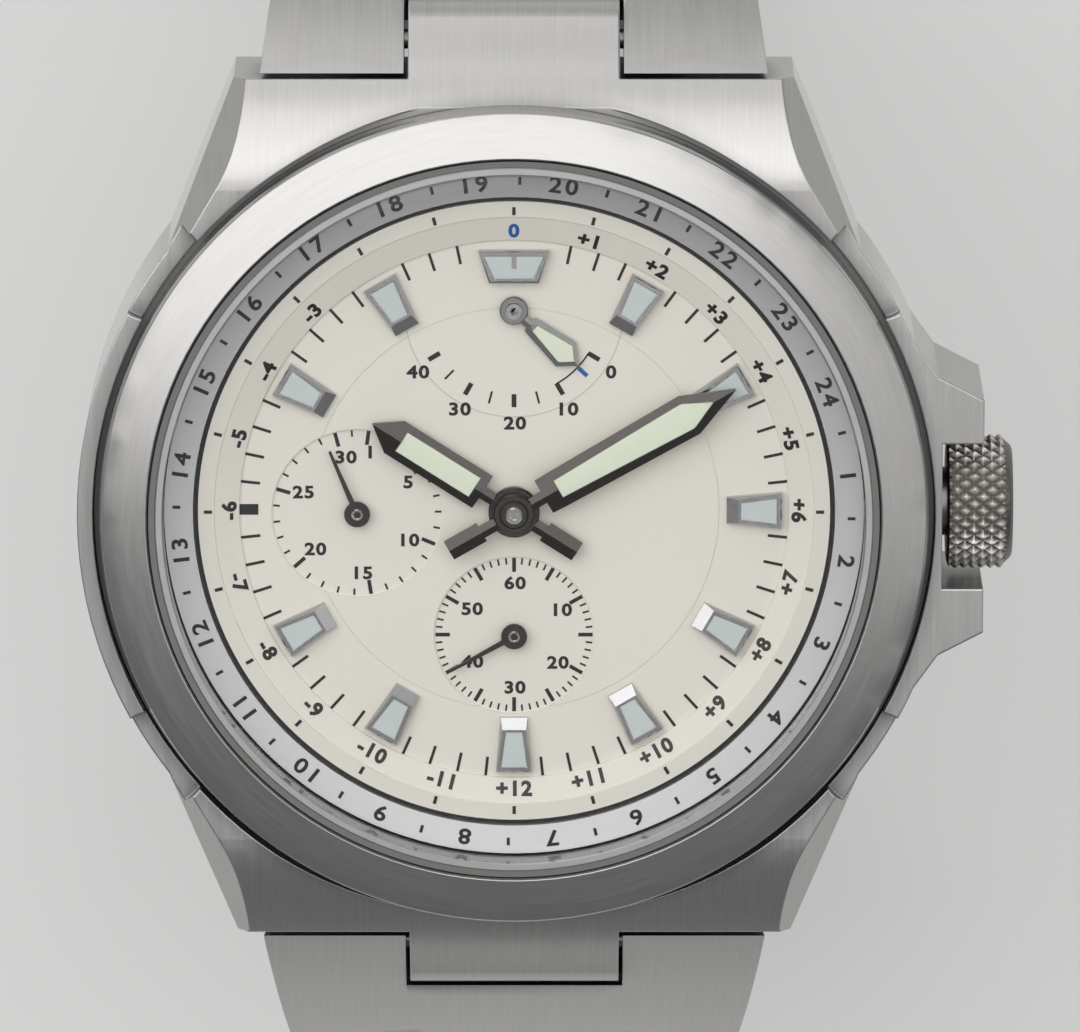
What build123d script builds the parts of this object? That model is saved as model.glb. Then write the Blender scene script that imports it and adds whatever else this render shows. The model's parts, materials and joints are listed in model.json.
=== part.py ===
"""World time watch with a steel case, a turning bezel and a folding bracelet.

The watch lies dial up and stands on the flat cover of its closed clasp. The origin is the centre
of that flat face, +Z goes up through the dial, +Y points to 12 o'clock and +X to the crown.
All lengths are in millimetres. Case heights are measured from the top of the 24 hour ring.
"""

import os
from math import atan2, cos, degrees, radians, sin, sqrt

from build123d import *

os.makedirs("parts", exist_ok=True)

# General clearances
overrun = 1.0
running_gap = 0.05
side_gap = 0.2
seat_gap = 0.1
wrap_gap = 0.25
half_share = 0.5

# Radii of the head, from the dial outwards
dial_radius = 15.6
ring_overlap = 2.2
zone_outer_radius = dial_radius + ring_overlap
bore_radius = zone_outer_radius + running_gap
hour_ring_radius = zone_outer_radius - running_gap
hour_ring_band = 1.45
hour_ring_inner_radius = hour_ring_radius - hour_ring_band
ring_step = 0.25
zone_top_radius = hour_ring_inner_radius - ring_step
zone_slope_width = 1.0
zone_slope_radius = zone_top_radius - zone_slope_width
zone_band = 1.1
zone_inner_radius = zone_slope_radius - zone_band
crystal_radius = zone_outer_radius
gasket_wall = 0.15
neck_inner_radius = crystal_radius + gasket_wall
neck_wall = 0.3
neck_radius = neck_inner_radius + neck_wall
bezel_fit = 0.1
bezel_inner_radius = neck_radius + bezel_fit
bezel_width = 2.65
bezel_radius = bezel_inner_radius + bezel_width
bezel_groove_gap = 0.35
bezel_gap_radius = bezel_radius + bezel_groove_gap
barrel_rim = 0.8
barrel_radius = bezel_gap_radius + barrel_rim
movement_ledge = 0.65
movement_bore_radius = bore_radius - movement_ledge
lug_pin_setback = 1.35
lug_pin_y = barrel_radius + lug_pin_setback

# Bracelet loop: one pin per joint, with the slope of each link below the horizontal
link_pitch = 8.6
link_slopes = (51.0, 72.0, 90.0, 108.0, 128.0, 151.0)
link_count = len(link_slopes)
link_round = 1.75
link_crown = 0.3
link_lead_width = 24.9
link_end_width = 17.6
tongue_share = 0.415
pin_radius = 0.5
pin_recess = 1.0
taper_power = 1.55
end_pin_z = 3.0


def loop_pins():
    """Walk down the bracelet from the lug pin, one pitch along each slope."""
    places = [(lug_pin_y, 0.0)]
    for slope in link_slopes:
        y, z = places[-1]
        places.append((y + link_pitch * cos(radians(slope)), z - link_pitch * sin(radians(slope))))
    rise = end_pin_z - places[-1][1]
    return [(y, z + rise) for y, z in places]


pins = loop_pins()
lug_pin_z = pins[0][1]
end_pin_y = pins[-1][0]
lug_pin_drop = 5.2
ring_z = lug_pin_z + lug_pin_drop


def link_width(index):
    """Width of the bracelet at a pin: it tapers fast at the case and slowly at the clasp."""
    share = index / link_count
    return link_end_width + (link_lead_width - link_end_width) * (1 - share) ** taper_power


# Case middle
barrel_top = 0.95
case_floor = -8.3
lug_front_setback = 1.1
lug_front_y = lug_pin_y - lug_front_setback
lug_front_z = -1.3
lug_overhang = 1.25
lug_top_width = link_lead_width + 2 * lug_overhang
waist_setback = 9.4
waist_y = lug_front_y - waist_setback
waist_cut = 4.85
waist_width = 2 * (barrel_radius - waist_cut)
shoulder_setback = 5.6
shoulder_y = lug_front_y - shoulder_setback
shoulder_fall_angle = 40.0
slope_mid_setback = 2.6
slope_mid_y = lug_front_y - slope_mid_setback
slope_mid_z = 0.2
tongue_round = 2.2
tongue_tip_angle = 50.0
tongue_width = 10.7
flank_bevel = 0.9
flank_slope_angle = 55.0
lug_under_setback = 4.5
lug_under_y = lug_pin_y - lug_under_setback
dial_ledge_z = -1.3

# Crown guards and crown
guard_proud = 1.65
guard_reach = barrel_radius + guard_proud
guard_half_gap = 3.75
guard_blend_y = 8.9
guard_root_inset = 0.65
guard_root_x = barrel_radius - guard_root_inset
guard_root_y = 7.2
guard_flat_y = 6.0
crown_recess = 0.45
guard_floor_x = barrel_radius - crown_recess
guard_top = -0.6
guard_bottom = -6.2
crown_z = -3.0
crown_radius = 3.42
crown_gap = 0.3
crown_proud = 1.55
crown_length = guard_reach + crown_proud - guard_floor_x - crown_gap
crown_dome = 0.35
crown_dome_angle = 45.0
crown_skirt_depth = 1.5
crown_wall = 0.75
knurl_count = 30
knurl_depth = 0.16
knurl_tip_shares = (0.3, 0.7)
tube_outer_radius = 1.75
tube_inner_radius = 1.15
tube_thread_length = 1.4
tube_inset = 0.3
tube_inner_x = movement_bore_radius + tube_inset
stem_radius = 0.6
stem_reach = 2.0

# Bezel and crystal
bezel_inner_top = 2.25
bezel_outer_top = 1.72
bezel_bevel = 0.3
bezel_flat_radius = bezel_inner_radius + bezel_bevel
bezel_edge_bevel = 0.12
bezel_edge_radius = bezel_radius - bezel_edge_bevel
bezel_floor = -0.2
neck_top = 1.9
crystal_floor = 1.1
crystal_top = 2.7
crystal_bevel = 0.35
gasket_floor = 0.9
magnet_count = 8
magnet_circle = (bezel_inner_radius + bezel_radius) / 2
magnet_radius = 0.5
magnet_length = 0.7
spring_margin = 0.75
spring_inner_radius = bezel_inner_radius + spring_margin
spring_rim = 0.3
spring_outer_radius = bezel_radius - spring_rim
spring_thick = 0.25
spring_floor_gap = 0.2
notch_angles = (55.0, 125.0, 235.0, 305.0)
notch_radius = 2.6
notch_floor = 0.2

# Hour ring, zone ring and dial
hour_ring_thick = 0.6
inner_magnet_count = 8
inner_magnet_radius = 0.35
inner_magnet_length = 0.3
zone_rim_z = -0.2
zone_flat_z = -0.62
zone_shelf_z = -0.7
dial_top = -0.9
dial_thick = 0.4
subdial_depth = 0.15
date_place = (-7.97, -0.2)
date_radius = 4.36
seconds_place = (0.0, -6.55)
seconds_radius = 4.1
reserve_place = (0.0, 10.35)
dial_step_radius = 10.4
dial_step_depth = 0.06

# Applied markers
marker_gap = 0.35
marker_outer_radius = zone_inner_radius - marker_gap
marker_length = 2.8
marker_inner_radius = marker_outer_radius - marker_length
marker_inner_width = 1.35
marker_outer_width = 1.85
marker_height = 0.55
marker_rim = 0.28
marker_facet = 0.75
marker_sink = 0.2
marker_angles = (30, 60, 90, 120, 150, 180, 210, 240, 300, 330)
top_marker_gap = 0.5
top_marker_outer_y = zone_inner_radius - top_marker_gap
top_marker_length = 1.65
top_marker_inner_y = top_marker_outer_y - top_marker_length
top_marker_outer_width = 3.5
top_marker_inner_width = 2.4
top_marker_stem = 0.3

# Hands: angles are clockwise from 12 o'clock, lengths are measured from each hand's own pivot
hand_thick = 0.22
lume_sink = 0.1
hour_angle = 302.6
hour_length = 8.5
hour_shoulder = 7.2
hour_width = 1.95
hour_root = 1.9
hour_lume_start = 2.35
hour_lume_length = 4.45
hour_lume_width = 1.16
minute_angle = 60.1
minute_length = 12.95
minute_shoulder = 10.25
minute_root = 1.75
minute_root_width = 1.92
minute_shoulder_width = 2.24
minute_lume_start = 2.57
minute_lume_shoulder = 10.1
minute_lume_end = 11.7
minute_lume_root_width = 1.0
minute_lume_width = 1.45
neck_width = 0.9
tail_start = 1.9
tail_length = 3.8
tail_width = 1.06
hour_hub_radius = 1.45
minute_hub_radius = 1.05
hour_hand_z = -0.35
minute_hand_z = 0.1
pinion_tip_z = 0.7
reserve_angle = 130.7
reserve_length = 4.75
reserve_waist = 1.1
reserve_shoulder = 3.7
reserve_width = 1.2
reserve_neck_width = 0.45
reserve_hub_radius = 0.72
date_angle = 337.0
date_hand_length = 3.55
seconds_angle = 241.0
seconds_hand_length = 3.75
thin_hub_radius = 0.66
thin_root_width = 0.3
thin_tip_width = 0.14
thin_thick = 0.15
thin_hand_z = -0.66
thin_pin_radius = 0.16
thin_pin_tip_z = -0.42

# Movement
holder_wall = 2.8
plate_radius = movement_bore_radius - holder_wall
stem_inner_x = plate_radius - stem_reach
plate_top = -2.3
plate_floor = -4.0
bridge_top = -5.7
bridge_floor = -6.5
holder_floor = -6.6
wheel_thick = 0.3
cannon_radius = 0.74
cannon_teeth = 10
cannon_tip_radius = 0.38
bearing_radius = 0.5
bearing_floor = -3.2
hour_tube_radius = 1.1
hour_wheel_radius = 2.36
hour_wheel_teeth = 32
minute_wheel_radius = 2.21
minute_wheel_teeth = 30
minute_pinion_radius = 0.58
minute_pinion_teeth = 8
minute_wheel_angle = 45.0
motion_low_z = -2.15
motion_high_z = -1.75
pivot_floor = -2.9
pivot_radius = 0.25
minute_wheel_distance = 3.0
tooth_depth_share = 0.09
tooth_tip_shares = (0.35, 0.65)
barrel_drum_share = 0.347
barrel_drum_radius = plate_radius * barrel_drum_share
barrel_place_shares = (-0.458, 0.361)
barrel_place = tuple(plate_radius * share for share in barrel_place_shares)
barrel_high = 1.45
balance_place_shares = (0.528, -0.389)
balance_place = tuple(plate_radius * share for share in balance_place_shares)
balance_share = 0.278
balance_radius = plate_radius * balance_share
balance_rim = 0.55
balance_spoke = 0.5
staff_radius = 0.25
rotor_gap = 0.4
rotor_radius = plate_radius - rotor_gap
rotor_thick = 0.5
rotor_weight_width = 2.8
rotor_weight_inner_radius = rotor_radius - rotor_weight_width
rotor_weight_thick = 0.85
rotor_top = -6.75
rotor_bearing_radius = 1.6
rotor_bearing_bore = 0.7
screw_head_radius = 0.85
screw_head_high = 0.18
screw_setback = 2.0
screw_circle = plate_radius - screw_setback
pillar_share = 1.3
cock_eye_share = 1.4

# Case back
back_rim = 1.8
back_radius = movement_bore_radius + back_rim
back_top = -8.3
back_floor = -9.6
back_thread_gap = 0.1
back_thread_radius = movement_bore_radius - back_thread_gap
back_wall = 1.5
back_wall_radius = back_thread_radius - back_wall
back_thread_high = 1.1
back_notch_count = 6
back_notch_width = 2.2
back_notch_depth = 0.9
back_notch_high = 0.7
back_edge_bevel = 0.5
back_gasket_rim = 1.0
back_gasket_radius = movement_bore_radius + back_gasket_rim
back_gasket_lip = 0.15
back_gasket_inner_radius = movement_bore_radius + back_gasket_lip
back_gasket_thick = 0.5

# Folding clasp
cover_tail = 2.4
cover_width = 20.2
cover_floor_thick = 1.0
cover_wall = 1.0
cover_high = 5.2
cover_edge_round = 0.8
hinge_setback = 4.5
clasp_hinge_y = end_pin_y - hinge_setback
clasp_hinge_z = 2.25
fold_setback = 5.1
clasp_fold_y = fold_setback - end_pin_y
clasp_fold_z = 2.85
blade_width = 7.4
blade_thick = 0.9
blade_knuckle = 1.0
fold_knuckle = 1.45
fold_tongue_width = 3.6
ear_width = 1.4
blade_end_setback = 3.1
inner_blade_end_y = end_pin_y - blade_end_setback
blade_level = 1.8
inner_blade_level = 3.4
button_radius = 1.3
button_collar_radius = 1.7
button_collar_thick = 0.5
adjust_hole_count = 3
adjust_hole_pitch = 2.6
button_proud = 0.9
button_y = -2.0
button_z = 2.9


def level(height):
    """Horizontal plane of the watch head, at a height measured from the hour ring's top."""
    return Plane.XY.offset(ring_z + height)


def save(name, part):
    """Label a finished piece and write it to its file."""
    part.label = name
    export_step(part, f"parts/{name}.step")


def ring_part(inner, outer, low, high):
    """A plain round band of the watch head between two heights."""
    with BuildPart() as band:
        with BuildSketch(level(low)):
            Circle(outer)
            Circle(inner, mode=Mode.SUBTRACT)
        extrude(amount=high - low)
    return band


def turned(points):
    """A round piece of the watch head, from its section as (radius, height) points."""
    with BuildPart() as piece:
        with BuildSketch(Plane.XZ):
            with BuildLine():
                Polyline([(r, ring_z + z) for r, z in points], close=True)
            make_face()
        revolve(axis=Axis.Z)
    return piece


def clock(angle, radius):
    """Place on the dial at a clockwise angle from 12 o'clock."""
    return (radius * sin(radians(angle)), radius * cos(radians(angle)))


# Case middle: a side profile along the wrist, cut to the plan outline
tongue_y = lug_pin_y + tongue_round * cos(radians(tongue_tip_angle))
tongue_z = tongue_round * sin(radians(tongue_tip_angle)) - lug_pin_drop
shoulder_fall = (cos(radians(shoulder_fall_angle)), -sin(radians(shoulder_fall_angle)))
body_front_y = lug_front_y - wrap_gap
guard_blend_x = sqrt(barrel_radius ** 2 - guard_blend_y ** 2)
with BuildPart() as case_body:
    with BuildSketch(Plane.YZ):
        with BuildLine():
            start = (0, ring_z + barrel_top)
            shoulder = (shoulder_y, ring_z + barrel_top)
            mid = (slope_mid_y, ring_z + slope_mid_z)
            front = (lug_front_y, ring_z + lug_front_z)
            tip = (tongue_y, ring_z + tongue_z)
            nose = (lug_pin_y + tongue_round, lug_pin_z)
            chin = (lug_pin_y, lug_pin_z - tongue_round)
            under = (lug_under_y, ring_z + case_floor)
            Line(start, shoulder)
            Spline(shoulder, mid, front, tip, tangents=[(1, 0), shoulder_fall])
            ThreePointArc(tip, nose, chin)
            Line(chin, under)
            Line(under, (0, ring_z + case_floor))
            Line((0, ring_z + case_floor), start)
        make_face()
        mirror(about=Plane.YZ)
    extrude(amount=barrel_radius + guard_reach, both=True)
    with BuildSketch(level(case_floor - overrun)):
        Circle(barrel_radius)
        for side in (1, -1):
            with BuildLine():
                Polyline(
                    (-waist_width / 2, 0),
                    (-waist_width / 2 - flank_bevel / 2, side * waist_y),
                    (-lug_top_width / 2 - flank_bevel / 2, side * body_front_y),
                    (lug_top_width / 2 + flank_bevel / 2, side * body_front_y),
                    (waist_width / 2 + flank_bevel / 2, side * waist_y),
                    (waist_width / 2, 0),
                    close=True,
                )
            make_face()
        Rectangle(tongue_width, (tongue_y + overrun * 2) * 2)
        with BuildLine():
            Polyline(
                (barrel_radius * half_share, -guard_blend_y),
                (guard_blend_x, -guard_blend_y),
                (guard_root_x, -guard_root_y),
                (guard_reach, -guard_flat_y),
                (guard_reach, guard_flat_y),
                (guard_root_x, guard_root_y),
                (guard_blend_x, guard_blend_y),
                (barrel_radius * half_share, guard_blend_y),
                close=True,
            )
        make_face()
    extrude(amount=barrel_top - case_floor + 2 * overrun, mode=Mode.INTERSECT)
    # Sloping flanks of the lugs, each cut by one inclined plane
    for side in (1, -1):
        for end in (1, -1):
            first = Vector(side * waist_width / 2, end * waist_y, ring_z + barrel_top)
            last = Vector(side * lug_top_width / 2, end * body_front_y, ring_z + lug_front_z)
            run = (last - first).normalized()
            outward = Vector(abs(run.Y) * side, abs(run.X) * end, 0).normalized()
            fall = outward * cos(radians(flank_slope_angle)) - Vector(0, 0, sin(radians(flank_slope_angle)))
            facing = run.cross(fall) * side * end
            with BuildSketch(Plane(origin=(first + last) * half_share, x_dir=run, z_dir=facing)):
                Rectangle((last - first).length, 4 * flank_bevel)
            extrude(amount=-2 * flank_bevel if facing.Z < 0 else 2 * flank_bevel, mode=Mode.SUBTRACT)
    # Guards fall away above the crown's upper third
    with BuildSketch(Plane.XZ.offset(-guard_root_y - barrel_radius)):
        with BuildLine():
            Polyline(
                (barrel_radius, ring_z + barrel_top + overrun),
                (barrel_radius, ring_z + barrel_top),
                (guard_reach, ring_z + guard_top - flank_bevel),
                (guard_reach + overrun, ring_z + guard_top - flank_bevel - overrun),
                (guard_reach + overrun, ring_z + barrel_top + overrun),
                close=True,
            )
        make_face()
        with BuildLine():
            Polyline(
                (barrel_radius - flank_bevel, ring_z + case_floor - overrun),
                (barrel_radius - flank_bevel, ring_z + case_floor),
                (guard_reach, ring_z + guard_bottom),
                (guard_reach + overrun, ring_z + guard_bottom),
                (guard_reach + overrun, ring_z + case_floor - overrun),
                close=True,
            )
        make_face()
    extrude(amount=-2 * (guard_root_y + barrel_radius), mode=Mode.SUBTRACT)
    # Bezel groove round the crystal's neck
    with BuildSketch(level(bezel_floor - seat_gap)):
        Circle(bezel_gap_radius)
        Circle(neck_radius, mode=Mode.SUBTRACT)
    extrude(amount=barrel_top - bezel_floor + overrun, mode=Mode.SUBTRACT)
    # Groove of the bezel's spring
    with BuildSketch(level(bezel_floor - seat_gap - spring_floor_gap - spring_thick)):
        Circle(spring_outer_radius + side_gap)
        Circle(spring_inner_radius - side_gap, mode=Mode.SUBTRACT)
    extrude(amount=spring_floor_gap + spring_thick + seat_gap, mode=Mode.SUBTRACT)
    # Neck that holds the crystal
    with BuildSketch(level(barrel_top - overrun)):
        Circle(neck_radius)
    extrude(amount=neck_top - barrel_top + overrun)
    # Bores for the crystal, the hour ring, the dial and the movement
    with BuildSketch(level(gasket_floor)):
        Circle(neck_inner_radius)
    extrude(amount=neck_top - gasket_floor + overrun, mode=Mode.SUBTRACT)
    with BuildSketch(level(dial_ledge_z)):
        Circle(bore_radius)
    extrude(amount=gasket_floor - dial_ledge_z + overrun, mode=Mode.SUBTRACT)
    with BuildSketch(level(case_floor - overrun)):
        Circle(movement_bore_radius)
    extrude(amount=dial_ledge_z - case_floor + 2 * overrun, mode=Mode.SUBTRACT)
    # Seat of the case back's gasket
    with BuildSketch(level(case_floor)):
        Circle(back_gasket_radius)
    extrude(amount=back_gasket_thick, mode=Mode.SUBTRACT)
    # Finger notches beside the bezel
    with BuildSketch(level(notch_floor)):
        for angle in notch_angles:
            with Locations(clock(angle, barrel_radius)):
                Circle(notch_radius)
    extrude(amount=barrel_top - notch_floor + overrun, mode=Mode.SUBTRACT)
    # Crown recess, tube hole and lug pin holes
    with BuildSketch(Plane.YZ.offset(guard_floor_x)):
        with Locations((0, ring_z + (barrel_top + case_floor) / 2)):
            Rectangle(2 * guard_half_gap, 2 * (barrel_top - case_floor))
    extrude(amount=guard_reach, mode=Mode.SUBTRACT)
    with BuildSketch(Plane.YZ.offset(movement_bore_radius - overrun)):
        with Locations((0, ring_z + crown_z)):
            Circle(tube_outer_radius)
    extrude(amount=guard_reach, mode=Mode.SUBTRACT)
    with BuildSketch(Plane.YZ):
        with Locations((lug_pin_y, lug_pin_z), (-lug_pin_y, lug_pin_z)):
            Circle(pin_radius)
    extrude(amount=tongue_width, both=True, mode=Mode.SUBTRACT)
save("case_body", case_body.part)
print("case body faces", len(case_body.faces()))


# Crown tube, pressed into the case wall
with BuildPart() as crown_tube:
    with BuildSketch(Plane.YZ.offset(tube_inner_x)):
        with Locations((0, ring_z + crown_z)):
            Circle(tube_outer_radius)
    extrude(amount=guard_floor_x + tube_thread_length - tube_inner_x)
    with BuildSketch(Plane.YZ.offset(tube_inner_x - overrun)):
        with Locations((0, ring_z + crown_z)):
            Circle(tube_inner_radius)
    extrude(amount=guard_reach, mode=Mode.SUBTRACT)
save("crown_tube", crown_tube.part)


# Crystal with a bevelled upper edge, and the gasket round it
crystal = turned([
    (0, crystal_floor),
    (crystal_radius, crystal_floor),
    (crystal_radius, crystal_top - crystal_bevel),
    (crystal_radius - crystal_bevel, crystal_top),
    (0, crystal_top),
])
save("crystal", crystal.part)

crystal_gasket = ring_part(crystal_radius, neck_inner_radius, gasket_floor, neck_top)
save("crystal_gasket", crystal_gasket.part)


# Spring under the bezel: a flat ring whose fingers are bent up to the bezel
with BuildPart() as bezel_spring:
    spring_level = bezel_floor - seat_gap - spring_floor_gap - spring_thick
    with BuildSketch(level(spring_level)):
        Circle(spring_outer_radius)
        Circle(spring_inner_radius, mode=Mode.SUBTRACT)
    extrude(amount=spring_thick)
    with BuildSketch(level(spring_level + spring_thick)):
        with PolarLocations((spring_inner_radius + spring_outer_radius) / 2, magnet_count):
            Rectangle(spring_outer_radius - spring_inner_radius, spring_thick * 4)
    extrude(amount=spring_floor_gap)
save("bezel_spring", bezel_spring.part)


# Bezel: a broad brushed ring that slopes outwards, with sockets for its magnets
with BuildPart() as bezel:
    with BuildSketch(Plane.XZ):
        with BuildLine():
            Polyline(
                (bezel_inner_radius, ring_z + bezel_floor),
                (bezel_inner_radius, ring_z + bezel_inner_top - 2 * bezel_bevel),
                (bezel_flat_radius, ring_z + bezel_inner_top),
                (bezel_edge_radius, ring_z + bezel_outer_top),
                (bezel_radius, ring_z + bezel_outer_top - bezel_bevel),
                (bezel_radius, ring_z + bezel_floor),
                close=True,
            )
        make_face()
    revolve(axis=Axis.Z)
    with BuildSketch(level(bezel_floor)):
        with PolarLocations(magnet_circle, magnet_count):
            Circle(magnet_radius)
    extrude(amount=magnet_length, mode=Mode.SUBTRACT)
save("bezel", bezel.part)

with BuildPart() as bezel_magnets:
    with BuildSketch(level(bezel_floor)):
        with PolarLocations(magnet_circle, magnet_count):
            Circle(magnet_radius)
    extrude(amount=magnet_length)
save("bezel_magnets", bezel_magnets.part)


# Hour ring under the crystal, with the magnets that follow the bezel's
with BuildPart() as hour_ring:
    with BuildSketch(level(-hour_ring_thick)):
        Circle(hour_ring_radius)
        Circle(hour_ring_inner_radius, mode=Mode.SUBTRACT)
    extrude(amount=hour_ring_thick)
    inner_magnet_place = (hour_ring_radius + hour_ring_inner_radius) / 2
    with BuildSketch(level(-hour_ring_thick)):
        with PolarLocations(inner_magnet_place, inner_magnet_count):
            Circle(inner_magnet_radius)
    extrude(amount=inner_magnet_length, mode=Mode.SUBTRACT)
save("hour_ring", hour_ring.part)

with BuildPart() as ring_magnets:
    with BuildSketch(level(-hour_ring_thick)):
        with PolarLocations(inner_magnet_place, inner_magnet_count):
            Circle(inner_magnet_radius)
    extrude(amount=inner_magnet_length)
save("ring_magnets", ring_magnets.part)


# Zone ring: a sloping tick band, a flat name band and a shelf under the hour ring
zone_ring = turned([
    (zone_inner_radius, zone_flat_z),
    (zone_slope_radius, zone_flat_z),
    (zone_top_radius, zone_rim_z),
    (zone_top_radius, zone_shelf_z),
    (zone_outer_radius, zone_shelf_z),
    (zone_outer_radius, dial_ledge_z),
    (dial_radius + side_gap / 2, dial_ledge_z),
    (dial_radius + side_gap / 2, dial_top),
    (zone_inner_radius, dial_top),
])
save("zone_ring", zone_ring.part)


# Dial with two sunk subdials and holes for the arbors
with BuildPart() as dial:
    with BuildSketch(level(dial_top - dial_thick)):
        Circle(dial_radius)
    extrude(amount=dial_thick)
    with BuildSketch(level(dial_top - subdial_depth)):
        with Locations(date_place):
            Circle(date_radius)
        with Locations(seconds_place):
            Circle(seconds_radius)
    extrude(amount=subdial_depth, mode=Mode.SUBTRACT)
    with BuildSketch(level(dial_top - dial_step_depth)):
        Circle(dial_step_radius + dial_step_depth)
        Circle(dial_step_radius, mode=Mode.SUBTRACT)
    extrude(amount=dial_step_depth, mode=Mode.SUBTRACT)
    with BuildSketch(level(dial_top - dial_thick)):
        Circle(hour_tube_radius + running_gap * 2)
        with Locations(date_place, seconds_place, reserve_place):
            Circle(thin_pin_radius + running_gap)
    extrude(amount=dial_thick, mode=Mode.SUBTRACT)
save("dial", dial.part)


def spoke(points, angle, height, thick, pivot=(0, 0)):
    """A flat piece drawn as (across, along) points, turned clockwise from 12 about its pivot."""
    plane = Plane(
        origin=(pivot[0], pivot[1], ring_z + height),
        x_dir=(cos(radians(angle)), -sin(radians(angle)), 0),
        z_dir=(0, 0, 1),
    )
    with BuildPart() as piece:
        with BuildSketch(plane):
            with BuildLine():
                Polyline(points, close=True)
            make_face()
        extrude(amount=thick)
    return piece.part


def both_sides(points):
    """Close a half outline of (half width, along) points by its mirror image."""
    return points + [(-across, along) for across, along in reversed(points) if across]


def marker_half(rim):
    """Half outline of an applied marker, drawn in by a rim; the facet end stays metal."""
    return both_sides([
        (marker_inner_width / 2 - rim, marker_inner_radius + (marker_facet if rim else 0)),
        (marker_outer_width / 2 - rim, marker_outer_radius - rim),
    ])


def top_marker_half(rim, side):
    """One half of the wide marker at 12, split by its stem."""
    inner_half = top_marker_inner_width / 2 - rim
    outer_half = top_marker_outer_width / 2 - rim
    return [
        (side * top_marker_stem / 2, top_marker_inner_y + rim),
        (side * inner_half, top_marker_inner_y + rim),
        (side * outer_half, top_marker_outer_y - rim),
        (side * top_marker_stem / 2, top_marker_outer_y - rim),
    ]


# Applied markers: metal trays with a facet at the inner end, filled with lume
top_outline = both_sides([
    (top_marker_inner_width / 2, top_marker_inner_y),
    (top_marker_outer_width / 2, top_marker_outer_y),
])
with BuildPart() as hour_markers:
    for angle in marker_angles:
        add(spoke(marker_half(0), angle, dial_top, marker_height))
        add(spoke(marker_half(marker_rim), angle, dial_top + marker_height - marker_sink, marker_sink),
            mode=Mode.SUBTRACT)
    add(spoke(top_outline, 0, dial_top, marker_height))
    for side in (1, -1):
        add(spoke(top_marker_half(marker_rim, side), 0, dial_top + marker_height - marker_sink, marker_sink),
            mode=Mode.SUBTRACT)
    # Bevelled inner ends
    facet_edges = (
        hour_markers.edges()
        .filter_by(lambda e: abs(e.center().Z - ring_z - dial_top - marker_height) < running_gap)
        .filter_by(lambda e: sqrt(e.center().X ** 2 + e.center().Y ** 2) < marker_inner_radius + running_gap)
    )
    chamfer(facet_edges, length=marker_height * half_share)
save("hour_markers", hour_markers.part)

with BuildPart() as marker_lume:
    for angle in marker_angles:
        add(spoke(marker_half(marker_rim), angle, dial_top + marker_height - marker_sink, marker_sink))
    for side in (1, -1):
        add(spoke(top_marker_half(marker_rim, side), 0, dial_top + marker_height - marker_sink, marker_sink))
save("marker_lume", marker_lume.part)


def upright(radius, low, high, place=(0, 0)):
    """A plain upright cylinder of the watch head."""
    with BuildPart() as post:
        with BuildSketch(level(low)):
            with Locations(place):
                Circle(radius)
        extrude(amount=high - low)
    return post.part


# Hour hand: a broad pointed frame with a square-shouldered neck and a tail
with BuildPart() as hour_hand:
    add(spoke(both_sides([
        (hour_width / 2, hour_root),
        (hour_width / 2, hour_shoulder),
        (0, hour_length),
    ]), hour_angle, hour_hand_z, hand_thick))
    add(spoke(both_sides([(neck_width / 2, -tail_start), (neck_width / 2, hour_root + overrun)]),
              hour_angle, hour_hand_z, hand_thick))
    add(spoke(both_sides([(tail_width / 2, -tail_length), (tail_width / 2, -tail_start)]),
              hour_angle, hour_hand_z, hand_thick))
    add(upright(hour_hub_radius, hour_hand_z, hour_hand_z + hand_thick))
    hour_lume_outline = both_sides([
        (hour_lume_width / 2, hour_lume_start),
        (hour_lume_width / 2, hour_lume_start + hour_lume_length),
    ])
    lume_low = hour_hand_z + hand_thick - lume_sink
    add(spoke(hour_lume_outline, hour_angle, lume_low, lume_sink), mode=Mode.SUBTRACT)
    add(upright(hour_tube_radius, hour_hand_z, hour_hand_z + hand_thick), mode=Mode.SUBTRACT)
save("hour_hand", hour_hand.part)

with BuildPart() as hour_lume:
    add(spoke(hour_lume_outline, hour_angle, lume_low, lume_sink))
save("hour_lume", hour_lume.part)


# Minute hand: it widens towards its shoulder and ends in a long point
with BuildPart() as minute_hand:
    add(spoke(both_sides([
        (minute_root_width / 2, minute_root),
        (minute_shoulder_width / 2, minute_shoulder),
        (0, minute_length),
    ]), minute_angle, minute_hand_z, hand_thick))
    add(spoke(both_sides([(neck_width / 2, -tail_start), (neck_width / 2, minute_root + overrun)]),
              minute_angle, minute_hand_z, hand_thick))
    add(spoke(both_sides([(tail_width / 2, -tail_length), (tail_width / 2, -tail_start)]),
              minute_angle, minute_hand_z, hand_thick))
    add(upright(minute_hub_radius, minute_hand_z, minute_hand_z + hand_thick * 2))
    minute_lume_outline = both_sides([
        (minute_lume_root_width / 2, minute_lume_start),
        (minute_lume_width / 2, minute_lume_shoulder),
        (0, minute_lume_end),
    ])
    lume_low = minute_hand_z + hand_thick - lume_sink
    add(spoke(minute_lume_outline, minute_angle, lume_low, lume_sink), mode=Mode.SUBTRACT)
    add(upright(cannon_tip_radius, minute_hand_z, pinion_tip_z), mode=Mode.SUBTRACT)
save("minute_hand", minute_hand.part)

with BuildPart() as minute_lume:
    add(spoke(minute_lume_outline, minute_angle, lume_low, lume_sink))
save("minute_lume", minute_lume.part)


# Power reserve hand: a hollow arrow filled with lume, on its own arbor
def arrow_half(rim):
    """Half outline of the arrow: a waist, a broad shoulder and a blunt point."""
    return both_sides([
        (reserve_neck_width / 2, reserve_waist + rim),
        (reserve_width / 2 - rim, reserve_shoulder),
        (0, reserve_length - 2 * rim),
    ])


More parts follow.
